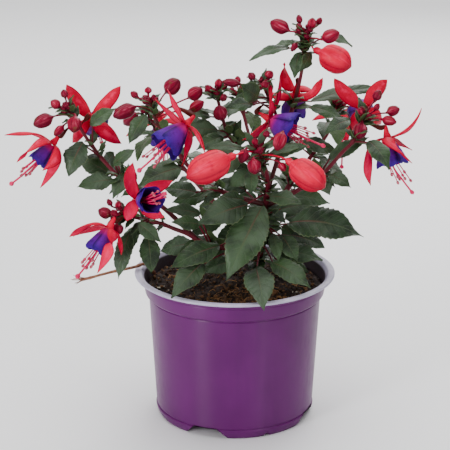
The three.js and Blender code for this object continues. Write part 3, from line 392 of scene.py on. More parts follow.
class Skin:
    # points, faces and place values of one piece, gathered loft by loft
    def __init__(self):
        self.points = []
        self.places = []
        self.faces = []
        self.slots = []
        self.count = 0

    def loft(self, rows, places, closed=True, slot=0):
        # rings or rows of points joined into a skin
        rings, corners = rows.shape[:2]
        index = self.count + np.arange(rings * corners).reshape(rings, corners)
        here, after = (index, np.roll(index, -1, axis=1)) if closed else (index[:, :-1], index[:, 1:])
        quads = np.stack([here[:-1], after[:-1], after[1:], here[1:]], axis=-1).reshape(-1, 4)
        self.points.append(rows.reshape(-1, 3))
        self.places.append(np.broadcast_to(places, rows.shape).reshape(-1, 3))
        self.faces += quads.tolist()
        self.slots += [slot] * len(quads)
        self.count += rings * corners
        return index

    def cap(self, loop, slot=0):
        self.faces.append([int(corner) for corner in loop])
        self.slots.append(slot)

    def blade(self, upper, lower, places, slots):
        # closed blade between an upper and a lower sheet of points
        top = self.loft(upper, places, False, slots[0])
        under = self.loft(lower, places, False, slots[1])
        ring, back = (np.concatenate([grid[0, :-1], grid[:-1, -1], grid[-1, :0:-1], grid[:0:-1, 0]])
                      for grid in (top, under))
        for a, b, c, d in zip(ring, back, np.roll(back, -1), np.roll(ring, -1)):
            self.cap((a, b, c, d), slots[1])

    def tube(self, path, radii, sides, tone=0.5, slot=0, flute=None):
        # round skin along a path, closed at both ends
        tangents = unit(np.gradient(path, axis=0))
        side = vec((0.31, 0.83, 0.42))
        angles = roundSteps(sides)
        rings = []
        for place in range(len(path) - 1, -1, -1):
            side = squareTo(side, tangents[place])
            other = np.cross(tangents[place], side)
            girth = radii[place] * (flute[place] if flute is not None else np.ones(sides))
            rings.append(path[place] + (girth * np.cos(angles))[:, None] * side
                         + (girth * np.sin(angles))[:, None] * other)
        rings = np.array(rings[::-1])
        places = np.zeros(rings.shape)
        places[..., 0] = sharesOf(path)[:, None]
        places[..., 1] = angles / (2 * math.pi)
        places[..., 2] = np.reshape(tone, (-1, 1))
        index = self.loft(rings, places, True, slot)
        self.cap(index[0][::-1], slot)
        self.cap(index[-1], slot)

    def build(self, name, materials, slotName, *nodes):
        # turns the skin into a piece of the object that stands for the named nodes
        mesh = bpy.data.meshes.new(name)
        mesh.from_pydata((np.concatenate(self.points) * mm).tolist(), [], self.faces)
        mesh.polygons.foreach_set("material_index", self.slots)
        mesh.polygons.foreach_set("use_smooth", [True] * len(mesh.polygons))
        mesh.attributes.new("place", "FLOAT_VECTOR", "POINT").data.foreach_set(
            "vector", np.concatenate(self.places).astype(np.float32).ravel())
        outward = bmesh.new()
        outward.from_mesh(mesh)
        bmesh.ops.recalc_face_normals(outward, faces=outward.faces)
        outward.to_mesh(mesh)
        outward.free()
        for material in materials:
            mesh.materials.append(material)
        piece = bpy.data.objects.new(name, mesh)
        bpy.context.scene.collection.objects.link(piece)
        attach(piece, "root")
        if nodes:
            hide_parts(*nodes)
        return piece


class Wire:
    # one output in a material; sums written with it add their Math nodes
    def __init__(self, tree, socket=None):
        self.tree = tree
        self.socket = socket

    def node(self, kind, settings=None, sockets=None, output=0):
        made = self.tree.nodes.new("ShaderNode" + kind)
        for setting, value in (settings or {}).items():
            setattr(made, setting, value)
        for name, value in (sockets or {}).items():
            if isinstance(value, Wire):
                self.tree.links.new(value.socket, made.inputs[name])
            else:
                made.inputs[name].default_value = value
        return Wire(self.tree, made.outputs[output])

    def maths(self, operation, *values):
        return self.node("Math", {"operation": operation}, dict(enumerate(values)))

    def __add__(self, other):
        return self.maths("ADD", self, other)

    def __sub__(self, other):
        return self.maths("SUBTRACT", self, other)

    def __rsub__(self, other):
        return self.maths("SUBTRACT", other, self)

    def __mul__(self, other):
        return self.maths("MULTIPLY", self, other)

    def __abs__(self):
        return self.maths("ABSOLUTE", self)

    __radd__ = __add__
    __rmul__ = __mul__

    def part(self, name):
        # x, y or z of a vector
        return self.node("SeparateXYZ", {}, {0: self}, "xyz".index(name))

    def stretch(self, low, high, toLow=0.0, toHigh=1.0):
        settings = {"interpolation_type": "SMOOTHSTEP"}
        return self.node("MapRange", settings, {0: self, 1: low, 2: high, 3: toLow, 4: toHigh})

    def beat(self):
        # how far a value is from the middle of its whole step
        return abs(self.maths("FRACT", self) - 0.5)

    def vector(self, x, y, z):
        return self.node("CombineXYZ", {}, {0: x, 1: y, 2: z})

    def bands(self, where, scale, distortion, detail, detailScale):
        # fine wavy lines, such as the veins of a petal
        settings = {"wave_type": "BANDS", "bands_direction": "X"}
        sockets = {"Vector": where, "Scale": scale, "Distortion": distortion, "Detail": detail,
                   "Detail Scale": detailScale}
        return self.node("TexWave", settings, sockets, 1)

    def noise(self, scale, detail=4.0, roughness=0.55, where=None):
        sockets = {"Vector": where or self.position(), "Scale": scale, "Detail": detail,
                   "Roughness": roughness}
        return self.node("TexNoise", {}, sockets)

    def position(self, stretchBy=(1, 1, 1)):
        spot = self.node("NewGeometry")
        return self.node("VectorMath", {"operation": "MULTIPLY"}, {0: spot, 1: stretchBy})

    def underside(self):
        # nothing on top of a form, all of the shade under it
        return self.node("NewGeometry", {}, {}, "Normal").part("z").stretch(0.25, -0.75)

    def place(self, name):
        # place value of the piece: along, across or tone
        found = self.node("Attribute", {"attribute_name": "place"}, {}, "Vector")
        return found.part({"along": "x", "across": "y", "tone": "z"}[name])

    def mix(self, factor, first, second):
        colours = [value if isinstance(value, Wire) else (*value, 1) for value in (first, second)]
        return self.node("Mix", {"data_type": "RGBA"}, {0: factor, 6: colours[0], 7: colours[1]}, 2)

    def layered(self, colour, *layers):
        # a colour with others laid over it in turn, each by its mask
        for mask, over in layers:
            colour = self.mix(mask, colour, over)
        return colour

    def surface(self, colour, roughness, height, distance, strength):
        # sockets that change over a surface; the distance of its relief is in millimetres
        relief = self.node("Bump", {}, {"Height": height, "Distance": distance * mm, "Strength": strength})
        return {"Base_Color": colour, "Roughness": roughness, "Normal": relief}


def paint(red, green, blue):
    # a colour as seen on screen, 0 to 255, as light values
    shares = [value / 255 for value in (red, green, blue)]
    return tuple(share / 12.92 if share < 0.04045 else ((share + 0.055) / 1.055) ** 2.4 for share in shares)


def newMaterial(name, build, **fixed):
    # a principled material; build returns the sockets that change over the surface
    material = bpy.data.materials.new(name)
    material.use_nodes = True
    tree = material.node_tree
    principled = next(node for node in tree.nodes if node.type == "BSDF_PRINCIPLED")
    for socket, value in fixed.items():
        principled.inputs[socket.replace("_", " ")].default_value = value
    for socket, value in build(Wire(tree)).items():
        tree.links.new(value.socket, principled.inputs[socket.replace("_", " ")])
    return material


leafPaint = {
    "top": paint(29, 50, 25),
    "topYoung": paint(62, 90, 50),
    "topDark": paint(10, 20, 12),
    "sheen": paint(88, 108, 84),
    "under": paint(80, 104, 62),
    "vein": paint(74, 92, 60),
    "midrib": paint(88, 34, 34),
    "edge": paint(96, 104, 72),
    "veinPairs": 8.5,
    "veinSweep": 0.17,
}


def leafBuild(under):
    def build(start):
        along, spread, tone = start.place("along"), abs(start.place("across")), start.place("tone")
        phase = (along - spread * leafPaint["veinSweep"]) * leafPaint["veinPairs"]
        sideVein = phase.beat().stretch(0.4, 0.48) * spread.stretch(0.98, 0.8)
        midVein = spread.stretch(0.08, 0.02)
        veins = sideVein.maths("MAXIMUM", sideVein, midVein)
        cells = {"Vector": start.position(), "Scale": 750.0}
        netLine = start.node("TexVoronoi", {"feature": "DISTANCE_TO_EDGE"}, cells).stretch(0.12, 0.0)
        patch = start.noise(140.0, 5.0, 0.6)
        height = start.noise(1500.0, 3.0) * 0.12 + netLine * -0.25 + veins * (0.9 if under else -0.8)
        if under:
            colour = start.mix(patch, leafPaint["under"], leafPaint["vein"])
        else:
            colour = start.mix(tone, leafPaint["top"], leafPaint["topYoung"])
            colour = start.mix(patch.stretch(0.4, 0.68) * 0.8, colour, leafPaint["topDark"])
            # painted sheen: paler grey-green patches stand in for gloss on the leaf tops
            sheenPatches = start.noise(42.0, 2.0).stretch(0.42, 0.62)
            colour = start.layered(
                colour,
                (sheenPatches * 0.42, leafPaint["sheen"]),
                (netLine * 0.12, leafPaint["vein"]),
                (sideVein * 0.16, leafPaint["vein"]),
                # painted highlight: a paler rim where the toothed margin catches light
                (spread.stretch(0.94, 1.0) * 0.7, leafPaint["edge"]),
            )
        colour = start.mix(midVein * 0.45, colour, leafPaint["vein"])
        reddened = along.stretch(0.7, 0.1) * tone.stretch(0.75, 0.1, 0.15, 0.85)
        colour = start.mix(midVein * reddened, colour, leafPaint["midrib"])
        return start.surface(colour, patch.stretch(0.3, 0.7, 0.3, 0.46) + netLine * 0.06, height, 0.22, 0.8)
    return build


leafTop = newMaterial("leafTop", leafBuild(False), Specular_IOR_Level=0.32)
leafUnder = newMaterial("leafUnder", leafBuild(True), Specular_IOR_Level=0.1)

stemPaint = {
    "young": paint(98, 16, 36),
    "old": paint(70, 26, 28),
    "bark": paint(104, 66, 54),
    "green": paint(60, 72, 42),
}


def stemBuild(start):
    along = start.place("along")
    streak = start.noise(500.0, 4.0, where=start.position((1, 1, 0.25)))
    blotch = start.noise(120.0, 3.0)
    colour = start.mix(along.stretch(0.0, 0.4), stemPaint["old"], stemPaint["young"])
    colour = start.layered(
        colour,
        (streak.stretch(0.5, 0.75) * 0.4, stemPaint["bark"]),
        (blotch.stretch(0.55, 0.75) * 0.3, stemPaint["green"]),
    )
    return start.surface(colour, streak.stretch(0.3, 0.7, 0.42, 0.62), streak + blotch * 0.5, 0.2, 0.7)


stemSkin = newMaterial("stemSkin", stemBuild, Specular_IOR_Level=0.25)

stemForm = {"sides": 14, "swelling": 0.35, "swellingLength": 0.014, "thickest": 3}
stems = {}


def stemPath(name):
    # the stem of a shoot as a smooth path with its shares, grown from its parent
    if name not in stems:
        shoot = shoots[name]
        corners = [vec(corner) for corner in shoot["path"]]
        if "from" in shoot:
            corners.insert(0, stemPoint(*shoot["from"]))
        path = smoothPath(corners)
        stems[name] = (path, sharesOf(path))
    return stems[name]


def stemPoint(name, share):
    path, shares = stemPath(name)
    return np.array([np.interp(share, shares, path[:, axis]) for axis in range(3)])


def stemGirth(name, share):
    foot, tip = shoots[name]["radii"]
    return foot + (tip - foot) * share


crosswisePairs = {
    "shares": [0.42, 0.65, 0.86],
    "turns": {"backLeft": 11.5, "backRight": 13.5, "backMid": 13.7},
    "petiole": 7,
    "length": 24,
    "width": 13.5,
}


def leafPairs(name):
    # pairs of leaves set crosswise up a stem
    seed = crosswisePairs["turns"][name]
    draw = seededRandom(seed)
    leaves = []
    for pair, share in enumerate(crosswisePairs["shares"]):
        tangent = unit(stemPoint(name, share + 0.04) - stemPoint(name, share))
        first = squareTo(vec((math.cos(pair * 1.7 + seed), math.sin(pair * 1.7 + seed), 0)), tangent)
        for way in (1, -1):
            out = first * way
            size = 1 - 0.35 * share + 0.2 * next(draw)
            foot = stemPoint(name, share) + out * crosswisePairs["petiole"] + vec((0, 0, 2))
            tip = foot + out * crosswisePairs["length"] * size
            tip[2] -= 5 + 9 * next(draw)
            face = [0.4 * out[0], 0.4 * out[1], 1]
            leaves.append([share, foot, tip, crosswisePairs["width"] * size, face, 3])
    return leaves


leafForm = {
    "thickness": 0.34,
    "fold": 0.16,
    "toothSpacing": 3.1,
    "toothDepth": 0.115,
    "rowsPerTooth": 4,
    "halfColumns": ([6, 14, 20], [4, 5, 9]),  # lengths of leaves, and their columns beside the midrib
    "leastHalfWidth": 0.22,
    "pucker": 0.022,
    "wave": 0.055,
    "waves": 2.2,
    "droop": 0.14,
    "petioleRadius": 0.55,
}


def leafOutline(shares):
    # half width along a leaf, as a share of the widest
    return np.sin(math.pi * shares**0.84) ** (0.76 + 0.4 * shares) * (1.06 - 0.1 * shares)


def leafBlade(skin, leaf, tone, phase):
    # toothed blade with a folded midrib, puckered between its side veins and waved at the edge
    _, foot, tip, width, faceWay, rise = leaf
    start, end, face = vec(foot), vec(tip), unit(vec(faceWay))
    length = np.linalg.norm(end - start)
    crest = (start + end) / 2 + squareTo(face, unit(end - start)) * 2 * rise
    teeth = max(2, round(length / leafForm["toothSpacing"]))
    rows = leafForm["rowsPerTooth"] * teeth + 1
    columns = 2 * int(np.interp(length, *leafForm["halfColumns"])) + 1
    along = np.linspace(0, 1, rows)
    across = np.sin(np.linspace(-1, 1, columns) * 0.5 * math.pi)
    saw = (along * teeth + 0.01) % 1
    toothed = np.clip(along * 6, 0, 1) * np.clip((1 - along) * 6, 0, 1)
    tooth = 1 + leafForm["toothDepth"] * (saw - 0.5) * toothed
    half = width / 2 * np.nan_to_num(leafOutline(along)) * tooth
    half = np.maximum(half, leafForm["leastHalfWidth"])[:, None]
    t, spread = along[:, None], np.abs(across)
    veins = (t - spread * leafPaint["veinSweep"]) * leafPaint["veinPairs"]
    pucker = np.cos(2 * math.pi * veins) * spread * (1 - spread**3) * np.sin(math.pi * t)
    wave = np.sin(2 * math.pi * (leafForm["waves"] * t + phase) + across * 1.5) * spread**2
    lift = half * (leafForm["fold"] * spread - leafForm["droop"] * spread**3)
    lift = lift + width * (leafForm["wave"] * wave - leafForm["pucker"] * pucker)
    sheet, normal = sheetOn(bentLine(start, crest, end, rows), face, half * across, lift)
    gap = normal * leafForm["thickness"] / 2
    skin.blade(sheet + gap, sheet - gap, stacked(t, across, tone), (0, 1))


def sagPath(start, end, sag, steps=10):
    # short stalk from start to end, bowed by sag
    return bentLine(start, (start + end) / 2 + vec((0, 0, sag)), end, steps)


def growShoot(name):
    # stem with its swollen nodes and petioles, and the blades that they carry
    shoot = shoots[name]
    leaves = shoot["leaves"] or leafPairs(name)
    wood, blades = Skin(), Skin()
    path, shares = stemPath(name)
    shares = shares[shares <= shoot["split"] + 0.02]
    girth = stemGirth(name, shares)
    for leaf in leaves:
        swelling = np.exp(-((shares - leaf[0]) / stemForm["swellingLength"]) ** 2)
        girth = girth + stemForm["swelling"] * swelling * (girth < stemForm["thickest"])
    wood.tube(path[:len(shares)], girth, stemForm["sides"])
    for number, leaf in enumerate(leaves):
        root, foot = stemPoint(name, leaf[0]), vec(leaf[1])
        petiole = sagPath(root, foot + unit(vec(leaf[2]) - foot) * 1.5, 0.06 * np.linalg.norm(foot - root))
        wood.tube(petiole, np.linspace(1.25, 0.75, len(petiole)) * leafForm["petioleRadius"], 8, 0.8)
        young = max(0.0, min(1.0, 1.1 - leaf[3] / 14)) * 0.6 + 0.45 * ((number * 0.77 + 0.1) % 1)
        leafBlade(blades, leaf, young, (number * goldenShare) % 1)
    wood.build("stem_" + name, [stemSkin], "foliage", "shoot_" + name)
    blades.build("leaves_" + name, [leafTop, leafUnder], "foliage", "shoot_" + name)


for name in shoots:
    growShoot(name)
print("stems and leaves grown")

budPaint = {
    "skin": paint(122, 14, 44),
    "shade": paint(84, 2, 30),
    "pale": paint(194, 88, 112),
    "large": paint(232, 0, 60),
    "largeHighlight": paint(255, 34, 92),
    "neck": paint(112, 14, 26),
    "green": paint(78, 80, 42),
    "largeShade": paint(150, 0, 36),
}


def budBuild(start):
    along, across, tone = start.place("along"), start.place("across"), start.place("tone")
    quarter = (across * 4.0).beat()
    seams, crown = quarter.stretch(0.4, 0.5), quarter.stretch(0.3, 0.05)
    streak = start.noise(1.0, 4.0, 0.6, where=start.vector(across * 26.0, along * 3.0, tone * 9.0))
    blush = start.noise(190.0, 3.0)
    base = start.mix(tone, budPaint["skin"], budPaint["large"])
    # painted highlight: paler streaks along the middle of each lobe, on small and large buds
    pale = start.mix(tone, budPaint["pale"], budPaint["largeHighlight"])
    colour = start.mix(streak.stretch(0.48, 0.62) * (crown * (0.75 - tone * 0.15) + 0.1), base, pale)
    shade = start.mix(tone, budPaint["shade"], budPaint["largeShade"])
    colour = start.layered(
        colour,
        (blush.stretch(0.52, 0.72) * 0.35, shade),
        (start.underside() * 0.85, shade),
        (seams * (0.75 - tone * 0.4), budPaint["shade"]),
        (along.stretch(0.86, 1.0) * 0.6, shade),
        (along.stretch(0.3, 0.05) * (1.0 - tone * 0.6) * 0.7, budPaint["neck"]),
        (blush.stretch(0.4, 0.3) * (1.0 - tone) * 0.5, budPaint["green"]),
    )
    return start.surface(colour, streak.stretch(0.3, 0.7, 0.26, 0.4),
                         start.noise(1400.0) * 0.2 - seams * 0.9 + streak * 0.3, 0.2, 0.7)


budSkin = newMaterial("budSkin", budBuild, Specular_IOR_Level=0.09)

budForm = {
    "small": [[0, 0.0], [0.12, 0.55], [0.32, 1.0], [0.55, 1.02], [0.78, 0.84], [0.93, 0.44], [1, 0.12]],
    "large": [[0, 0.34], [0.08, 0.68], [0.2, 0.93], [0.42, 1.04], [0.65, 1.0], [0.82, 0.76], [0.93, 0.4],
              [1, 0.06]],
    "largeFrom": 5,
    "rings": 18,
    "sides": ([1.5, 2, 3, 3.5], [10, 16, 18, 28]),  # radii of buds, and their sides
    "ovaryLength": 5,
    "ovary": ([0.15, 0.4, 0.65, 0.85], [1.4, 2.1, 2.2, 2.0]),  # places along it, and the radius there
    "seamWidth": 0.35,
    "seamDepth": 0.07,
    "toneStep": 0.09,
    "pinheads": 11,
}


def growBud(skin, name, bud, seed):
    # pedicel, ovary and a body with four joined sepals that end in a point
    share, neck, tip, radius = bud
    root, base, end = stemPoint(name, share), vec(neck), vec(tip)
    large = radius > budForm["largeFrom"]
    along = np.linspace(0, 1, budForm["rings"])
    body = base + along[:, None] * (end - base)
    girth = curveAt(budForm["large" if large else "small"], along) * radius
    girth = np.maximum(girth, 0.3 if large else 0.75)
    stalkEnd = base - unit(end - base) * (budForm["ovaryLength"] if large else 0.6)
    stalk = sagPath(root, stalkEnd, 0.12 * np.linalg.norm(stalkEnd - root), 8)
    path, radii = [stalk, body], [np.full(len(stalk), pedicelRadius), girth]
    if large:
        places, girths = vec(budForm["ovary"])
        path.insert(1, stalkEnd + places[:, None] * (base - stalkEnd))
        radii.insert(1, girths)
    path, radii = np.concatenate(path), np.concatenate(radii)
    sides = int(np.interp(radius, *budForm["sides"]))
    furrow = np.exp(-(np.sin(2 * roundSteps(sides)) / budForm["seamWidth"]) ** 2)
    depth = np.zeros(len(path))
    depth[-len(body):] = budForm["seamDepth"] * np.sin(math.pi * along) ** 0.5
    tone = 1.0 if large else budForm["toneStep"] * (seed % 3)
    skin.tube(path, radii, sides, tone, 0, 1 - depth[:, None] * furrow)


def roundWay(tangent, turn, lean):
    # direction that leans from a stem's tangent, turned round it
    first = squareTo(vec((0.2, -0.9, 0.3)), tangent)
    second = np.cross(tangent, first)
    return unit(first * math.cos(turn) + second * math.sin(turn) + tangent * lean)


def pinheads(name):
    # the smallest buds, crowded round the tip of a shoot
    draw = seededRandom(len(name) + 3)
    tangent = unit(stemPoint(name, 1) - stemPoint(name, 0.97))
    for number in range(budForm["pinheads"]):
        share = 0.97 + 0.03 * next(draw)
        way = roundWay(tangent, 2.4 * number + next(draw), 0.5 + next(draw))
        neck = stemPoint(name, share) + way * (1.5 + 2.5 * next(draw))
        yield share, neck, neck + way * (2.4 + 1.6 * next(draw)), 1.1 + 0.7 * next(draw)


sprigForm = {
    "tip": (13, 0.9, 7.5),  # leaves at the place, their lean towards the stem's way, their length
    "axil": (3, 0.7, 14),
    "axilShrink": 7,
    "axilsFrom": 0.25,
    "petioleRadius": 0.45,
}

# Young leaves that show between the buds and in the gaps, listed like the leaves of the shoots.
youngLeaves = {
    "main": [
        [0.985, [5, -29, 171], [-18, -26, 170], 7, [0, -0.5, 0.85], 3],
        [0.985, [21, -28, 168], [40, -22, 171], 6, [0, -0.5, 0.85], 2],
        [0.94, [9, -31, 160], [9, -38, 147], 8, [0, -0.95, 0.2], 0.5],
        [0.95, [3, -24, 164], [-8, -22, 154], 7, [0, -0.8, 0.5], 1],
        [0.99, [11, -28, 173], [5, -26, 181], 4, [0, -0.8, 0.4], 1],
        [0.99, [13, -29, 174], [18, -27, 183], 4, [0, -0.8, 0.4], 1],
        [0.99, [16, -30, 172], [25, -30, 177], 4, [0, -0.8, 0.4], 1],
        [0.50, [20, 0, 130], [30, 4, 117], 8, [0.1, -0.8, 0.5], 1],
        [0.54, [24, 6, 134], [36, 9, 125], 8, [0.1, -0.8, 0.5], 1],
        [0.57, [13, 4, 131], [3, 8, 134], 7, [0, -0.8, 0.6], 1],
    ],
}


def growSprig(name):
    # young leaves crowded at the tip of a shoot, and small ones in the axils of its leaves
    draw = seededRandom(len(name) + 8)
    shoot = shoots[name]
    skin = Skin()
    count, lean, size = sprigForm["tip"]
    spots = [(0.9 + 0.1 * number / count, lean, size) for number in range(count)]
    count, lean, size = sprigForm["axil"]
    for share in sorted(leaf[0] for leaf in shoot["leaves"] or leafPairs(name)):
        if share > sprigForm["axilsFrom"]:
            spots += [(share, lean, size - sprigForm["axilShrink"] * share)] * count
    for number, (share, lean, size) in enumerate(spots):
        tangent = unit(stemPoint(name, min(share + 0.02, 1)) - stemPoint(name, share - 0.02))
        way = roundWay(tangent, 2.4 * number + next(draw), lean)
        length = size * (0.8 + 0.7 * next(draw))
        foot = stemPoint(name, share) + way * 1.4
        tip = foot + unit(way + vec((0, -0.2, -0.35 * next(draw)))) * length
        face = [0.3 * way[0], 0.3 * way[1] - 0.3, 1]
        leafBlade(skin, [share, foot, tip, length * (0.38 + 0.12 * next(draw)), face, 0.12 * length],
                  0.2 + 0.6 * next(draw), next(draw))
    for number, leaf in enumerate(youngLeaves.get(name, [])):
        root, foot = stemPoint(name, leaf[0]), vec(leaf[1])
        petiole = sagPath(root, foot + unit(vec(leaf[2]) - foot), 0, 6)
        skin.tube(petiole, np.full(6, sprigForm["petioleRadius"]), 8, 0.8, 2)
        phase = number * goldenShare % 1
        leafBlade(skin, leaf, 0.35 + 0.4 * phase, phase)
    skin.build("sprig_" + name, [leafTop, leafUnder, stemSkin], "foliage")


def growBuds(name):
    # the flowering tip of a shoot with its bunch of closed buds
    shoot = shoots[name]
    skin = Skin()
    path, shares = stemPath(name)
    kept = shares >= shoot["split"] - 0.01
    skin.tube(path[kept], stemGirth(name, shares[kept]), 12, 0.0, 1)
    for seed, bud in enumerate(shoot["buds"]):
        growBud(skin, name, bud, seed)
    for seed, bud in enumerate(pinheads(name)):
        growBud(skin, name, bud, 3 * seed)
    skin.build("bunch_" + name, [budSkin, stemSkin], "bud", "buds_" + name)


for name in shoots:
    growBuds(name)
    growSprig(name)
print("closed buds grown")

sepalPaint = {
    "outer": paint(224, 0, 58),
    "outerDark": paint(158, 0, 40),
    "inner": paint(238, 0, 68),
    "innerPale": paint(255, 34, 104),
    "sepalHighlight": paint(255, 50, 106),
    "ovary": paint(80, 28, 24),
    "tip": paint(206, 60, 40),
}


def sepalBuild(inner):
    def build(start):
        along, across = start.place("along"), start.place("across")
        veins = start.bands(start.vector(across, along * 0.25, 0.0), 2.6, 2.0, 2.0, 1.5)
        patch = start.noise(260.0, 4.0)
        names = ("inner", "innerPale", "innerPale") if inner else ("outer", "outerDark", "inner")
        first, second, blush = (sepalPaint[name] for name in names)
        colour = start.mix(veins.stretch(0.4, 0.9) * 0.6, first, second)
        colour = start.mix(patch.stretch(0.45, 0.7) * 0.4, colour, blush)
        spread = abs(across)
        # painted highlight: a paler pink patch down the middle of each sepal
        sepalHighlight = patch.stretch(0.42, 0.62) * spread.stretch(0.6, 0.1) * along.stretch(0.2, 0.45, 0.0, 0.55)
        colour = start.layered(
            colour,
            (sepalHighlight, sepalPaint["sepalHighlight"]),
            (spread.stretch(0.72, 1.0) * 0.6, sepalPaint["outerDark"]),
            (along.stretch(0.25, 0.0) * 0.6, sepalPaint["outerDark"]),
            # painted shade on the undersides of the sepals
            (start.underside() * 0.5, sepalPaint["outerDark"]),
            (along.stretch(0.93, 1.0) * 0.5, sepalPaint["tip"]),
        )
        return start.surface(colour, patch.stretch(0.3, 0.7, 0.3, 0.44),
                             veins * 0.7 + start.noise(1600.0) * 0.15, 0.16, 0.7)
    return build


def tubeBuild(start):
    tone = start.place("tone")
    patch = start.noise(320.0, 4.0)
    colour = start.mix(patch.stretch(0.4, 0.7) * 0.5, sepalPaint["outer"], sepalPaint["outerDark"])
    colour = start.mix(tone.stretch(0.5, 0.9), sepalPaint["ovary"], colour)
    return start.surface(colour, patch.stretch(0.3, 0.7, 0.32, 0.48), start.noise(1500.0), 0.1, 0.4)


sepalOuter = newMaterial("sepalOuter", sepalBuild(False), Specular_IOR_Level=0.05)
sepalInner = newMaterial("sepalInner", sepalBuild(True), Specular_IOR_Level=0.05)
tubeSkin = newMaterial("tubeSkin", tubeBuild, Specular_IOR_Level=0.1)

calyxForm = {
    "tubeLength": 7,
    "tubeRadius": 2.3,
    "ovaryRadius": 1.6,
    "redFrom": (17, 6),  # ring where the ovary's colour ends, and the rings that the change takes
    "sepal": [[0, 0.46], [0.16, 0.8], [0.36, 1.0], [0.6, 0.94], [0.8, 0.66], [0.93, 0.28], [1, 0.03]],
    "sepalGrid": (22, 11),
    "sepalHalfWidth": (1.9, 0.3, 4.3),  # least, more for each millimetre of the mouth's radius, most
    "sepalChannel": 0.3,
    "sepalWave": 0.1,
}


def bloomFrame(bloom):
    # throat, way it opens, two directions square to that, and the sepals' angles with their tips
    throat, mouth, tips = vec(bloom[3]), vec(bloom[4]), [vec(tip) for tip in bloom[6]]
    axis = unit(mouth - throat)
    first = squareTo(vec((0.3, 0.2, 1)), axis)
    second = np.cross(axis, first)
    found = {"throat": throat, "axis": axis, "first": first, "second": second,
             "length": np.linalg.norm(mouth - throat), "mouth": mouth, "radius": bloom[5]}
    angles = sorted((math.atan2((tip - throat) @ second, (tip - throat) @ first), tuple(tip)) for tip in tips)
    found["firstSepal"] = sum(angle - sepal * math.pi / 2 for sepal, (angle, _) in enumerate(angles)) / 4
    found["tips"] = [vec(tip) for _, tip in angles]
    return found


def spotIn(found, height, radius, angle):
    # point of a bloom from height along its axis, radius and angle round it
    height, radius, angle = (np.asarray(value, float)[..., None] for value in (height, radius, angle))
    return (found["throat"] + found["axis"] * height + found["first"] * radius * np.cos(angle)
            + found["second"] * radius * np.sin(angle))


def growSepal(skin, found, sepal, seed):
    # one arched sepal with a keel, channelled towards the petals
    angle = found["firstSepal"] + sepal * math.pi / 2
    end = found["tips"][sepal]
    start = spotIn(found, -0.6, calyxForm["tubeRadius"] * 0.9, angle)
    out = spotIn(found, 0, 1, angle) - found["throat"]
    crest = start + out * 0.5 * np.linalg.norm(found["throat"] - end) - found["axis"] * 1.5
    rows, columns = calyxForm["sepalGrid"]
    t, across = np.linspace(0, 1, rows)[:, None], np.linspace(-1, 1, columns)
    narrow, perRadius, widest = calyxForm["sepalHalfWidth"]
    widest = min(widest, narrow + perRadius * found["radius"])
    half = widest * np.maximum(curveAt(calyxForm["sepal"], t), 0.03)
    wave = np.sin(7 * t + seed * 1.9) * across
    lift = half * (calyxForm["sepalChannel"] * across**2 + calyxForm["sepalWave"] * wave)
    sheet, normal = sheetOn(bentLine(start, crest, end, rows), found["axis"], -half * across, lift)
    thick = (0.16 + 0.26 * (1 - across**2)) * np.clip(1.6 - t, 0.4, 1)
    gap = normal * thick[..., None] / 1.2
    skin.blade(sheet + gap, sheet - gap, stacked(t, across, 0.5), (2, 1))


def growCalyx(number, bloom):
    # pedicel, ovary, tube and four sepals
    found = bloomFrame(bloom)
    root, neck = stemPoint(bloom[0], bloom[1]), vec(bloom[2])
    hump = (root + neck) / 2 + vec((0, 0, 0.15 * np.linalg.norm(root - neck)))
    tubeStart = found["throat"] - found["axis"] * calyxForm["tubeLength"]
    middle = (neck + tubeStart) / 2
    girths = [pedicelRadius, pedicelRadius, calyxForm["ovaryRadius"], 1.05, 1.7,
              calyxForm["tubeRadius"], calyxForm["tubeRadius"]]
    spots = [root, hump, middle, tubeStart, (tubeStart + found["throat"]) / 2, spotIn(found, -1.3, 0, 0),
             found["throat"]]
    whole = smoothPath([[*spot, girth] for spot, girth in zip(spots, girths)], 7)
    skin = Skin()
    redFrom, redOver = calyxForm["redFrom"]
    redness = np.clip((np.arange(len(whole)) - redFrom) / redOver, 0, 1)
    skin.tube(whole[:, :3], np.maximum(whole[:, 3], 0.45), 16, redness)
    for sepal in range(4):
        growSepal(skin, found, sepal, number + sepal)
    skin.build(f"calyx_{number}", [tubeSkin, sepalOuter, sepalInner], "sepal", f"bloom_{number}_calyx")


petalPaint = {
    "rim": paint(54, 4, 130),
    "body": paint(92, 8, 150),
    "shade": paint(22, 2, 58),
    "foot": paint(206, 30, 112),
    "vein": paint(140, 16, 112),
}


def petalBuild(inside):
    def build(start):
        along, across = start.place("along"), start.place("across")
        fan = start.vector(across, along * 0.15, start.place("tone"))
        veins = start.bands(fan, 3.4, 3.0, 3.0, 1.2)
        patch = start.noise(300.0, 4.0)
        colour = start.mix(along.stretch(0.55, 1.0), petalPaint["body"], petalPaint["rim"])
        colour = start.layered(
            colour,
            (patch.stretch(0.45, 0.75) * 0.5, petalPaint["shade"]),
            (veins.stretch(0.6, 0.95) * along.stretch(0.75, 0.15) * 0.8, petalPaint["vein"]),
            (abs(across).stretch(0.7, 1.0) * 0.75, petalPaint["shade"]),
        )
        if inside:
            colour = start.mix(along.stretch(1.0, 0.3) * 0.75 + 0.1, colour, petalPaint["shade"])
        else:
            colour = start.mix(along.stretch(0.36, 0.04), colour, petalPaint["foot"])
        return start.surface(colour, patch.stretch(0.3, 0.7, 0.46, 0.62),
                             veins * 0.8 + start.noise(1400.0) * 0.3, 0.18, 0.8)
    return build


petalOutside = newMaterial("petalOutside", petalBuild(False), Specular_IOR_Level=0.12)
petalInside = newMaterial("petalInside", petalBuild(True), Specular_IOR_Level=0.1)


corollaForm = {"petals": 4, "halfSpread": 67.5, "footRadius": 2.2, "grid": (22, 23), "halfThickness": 0.13}


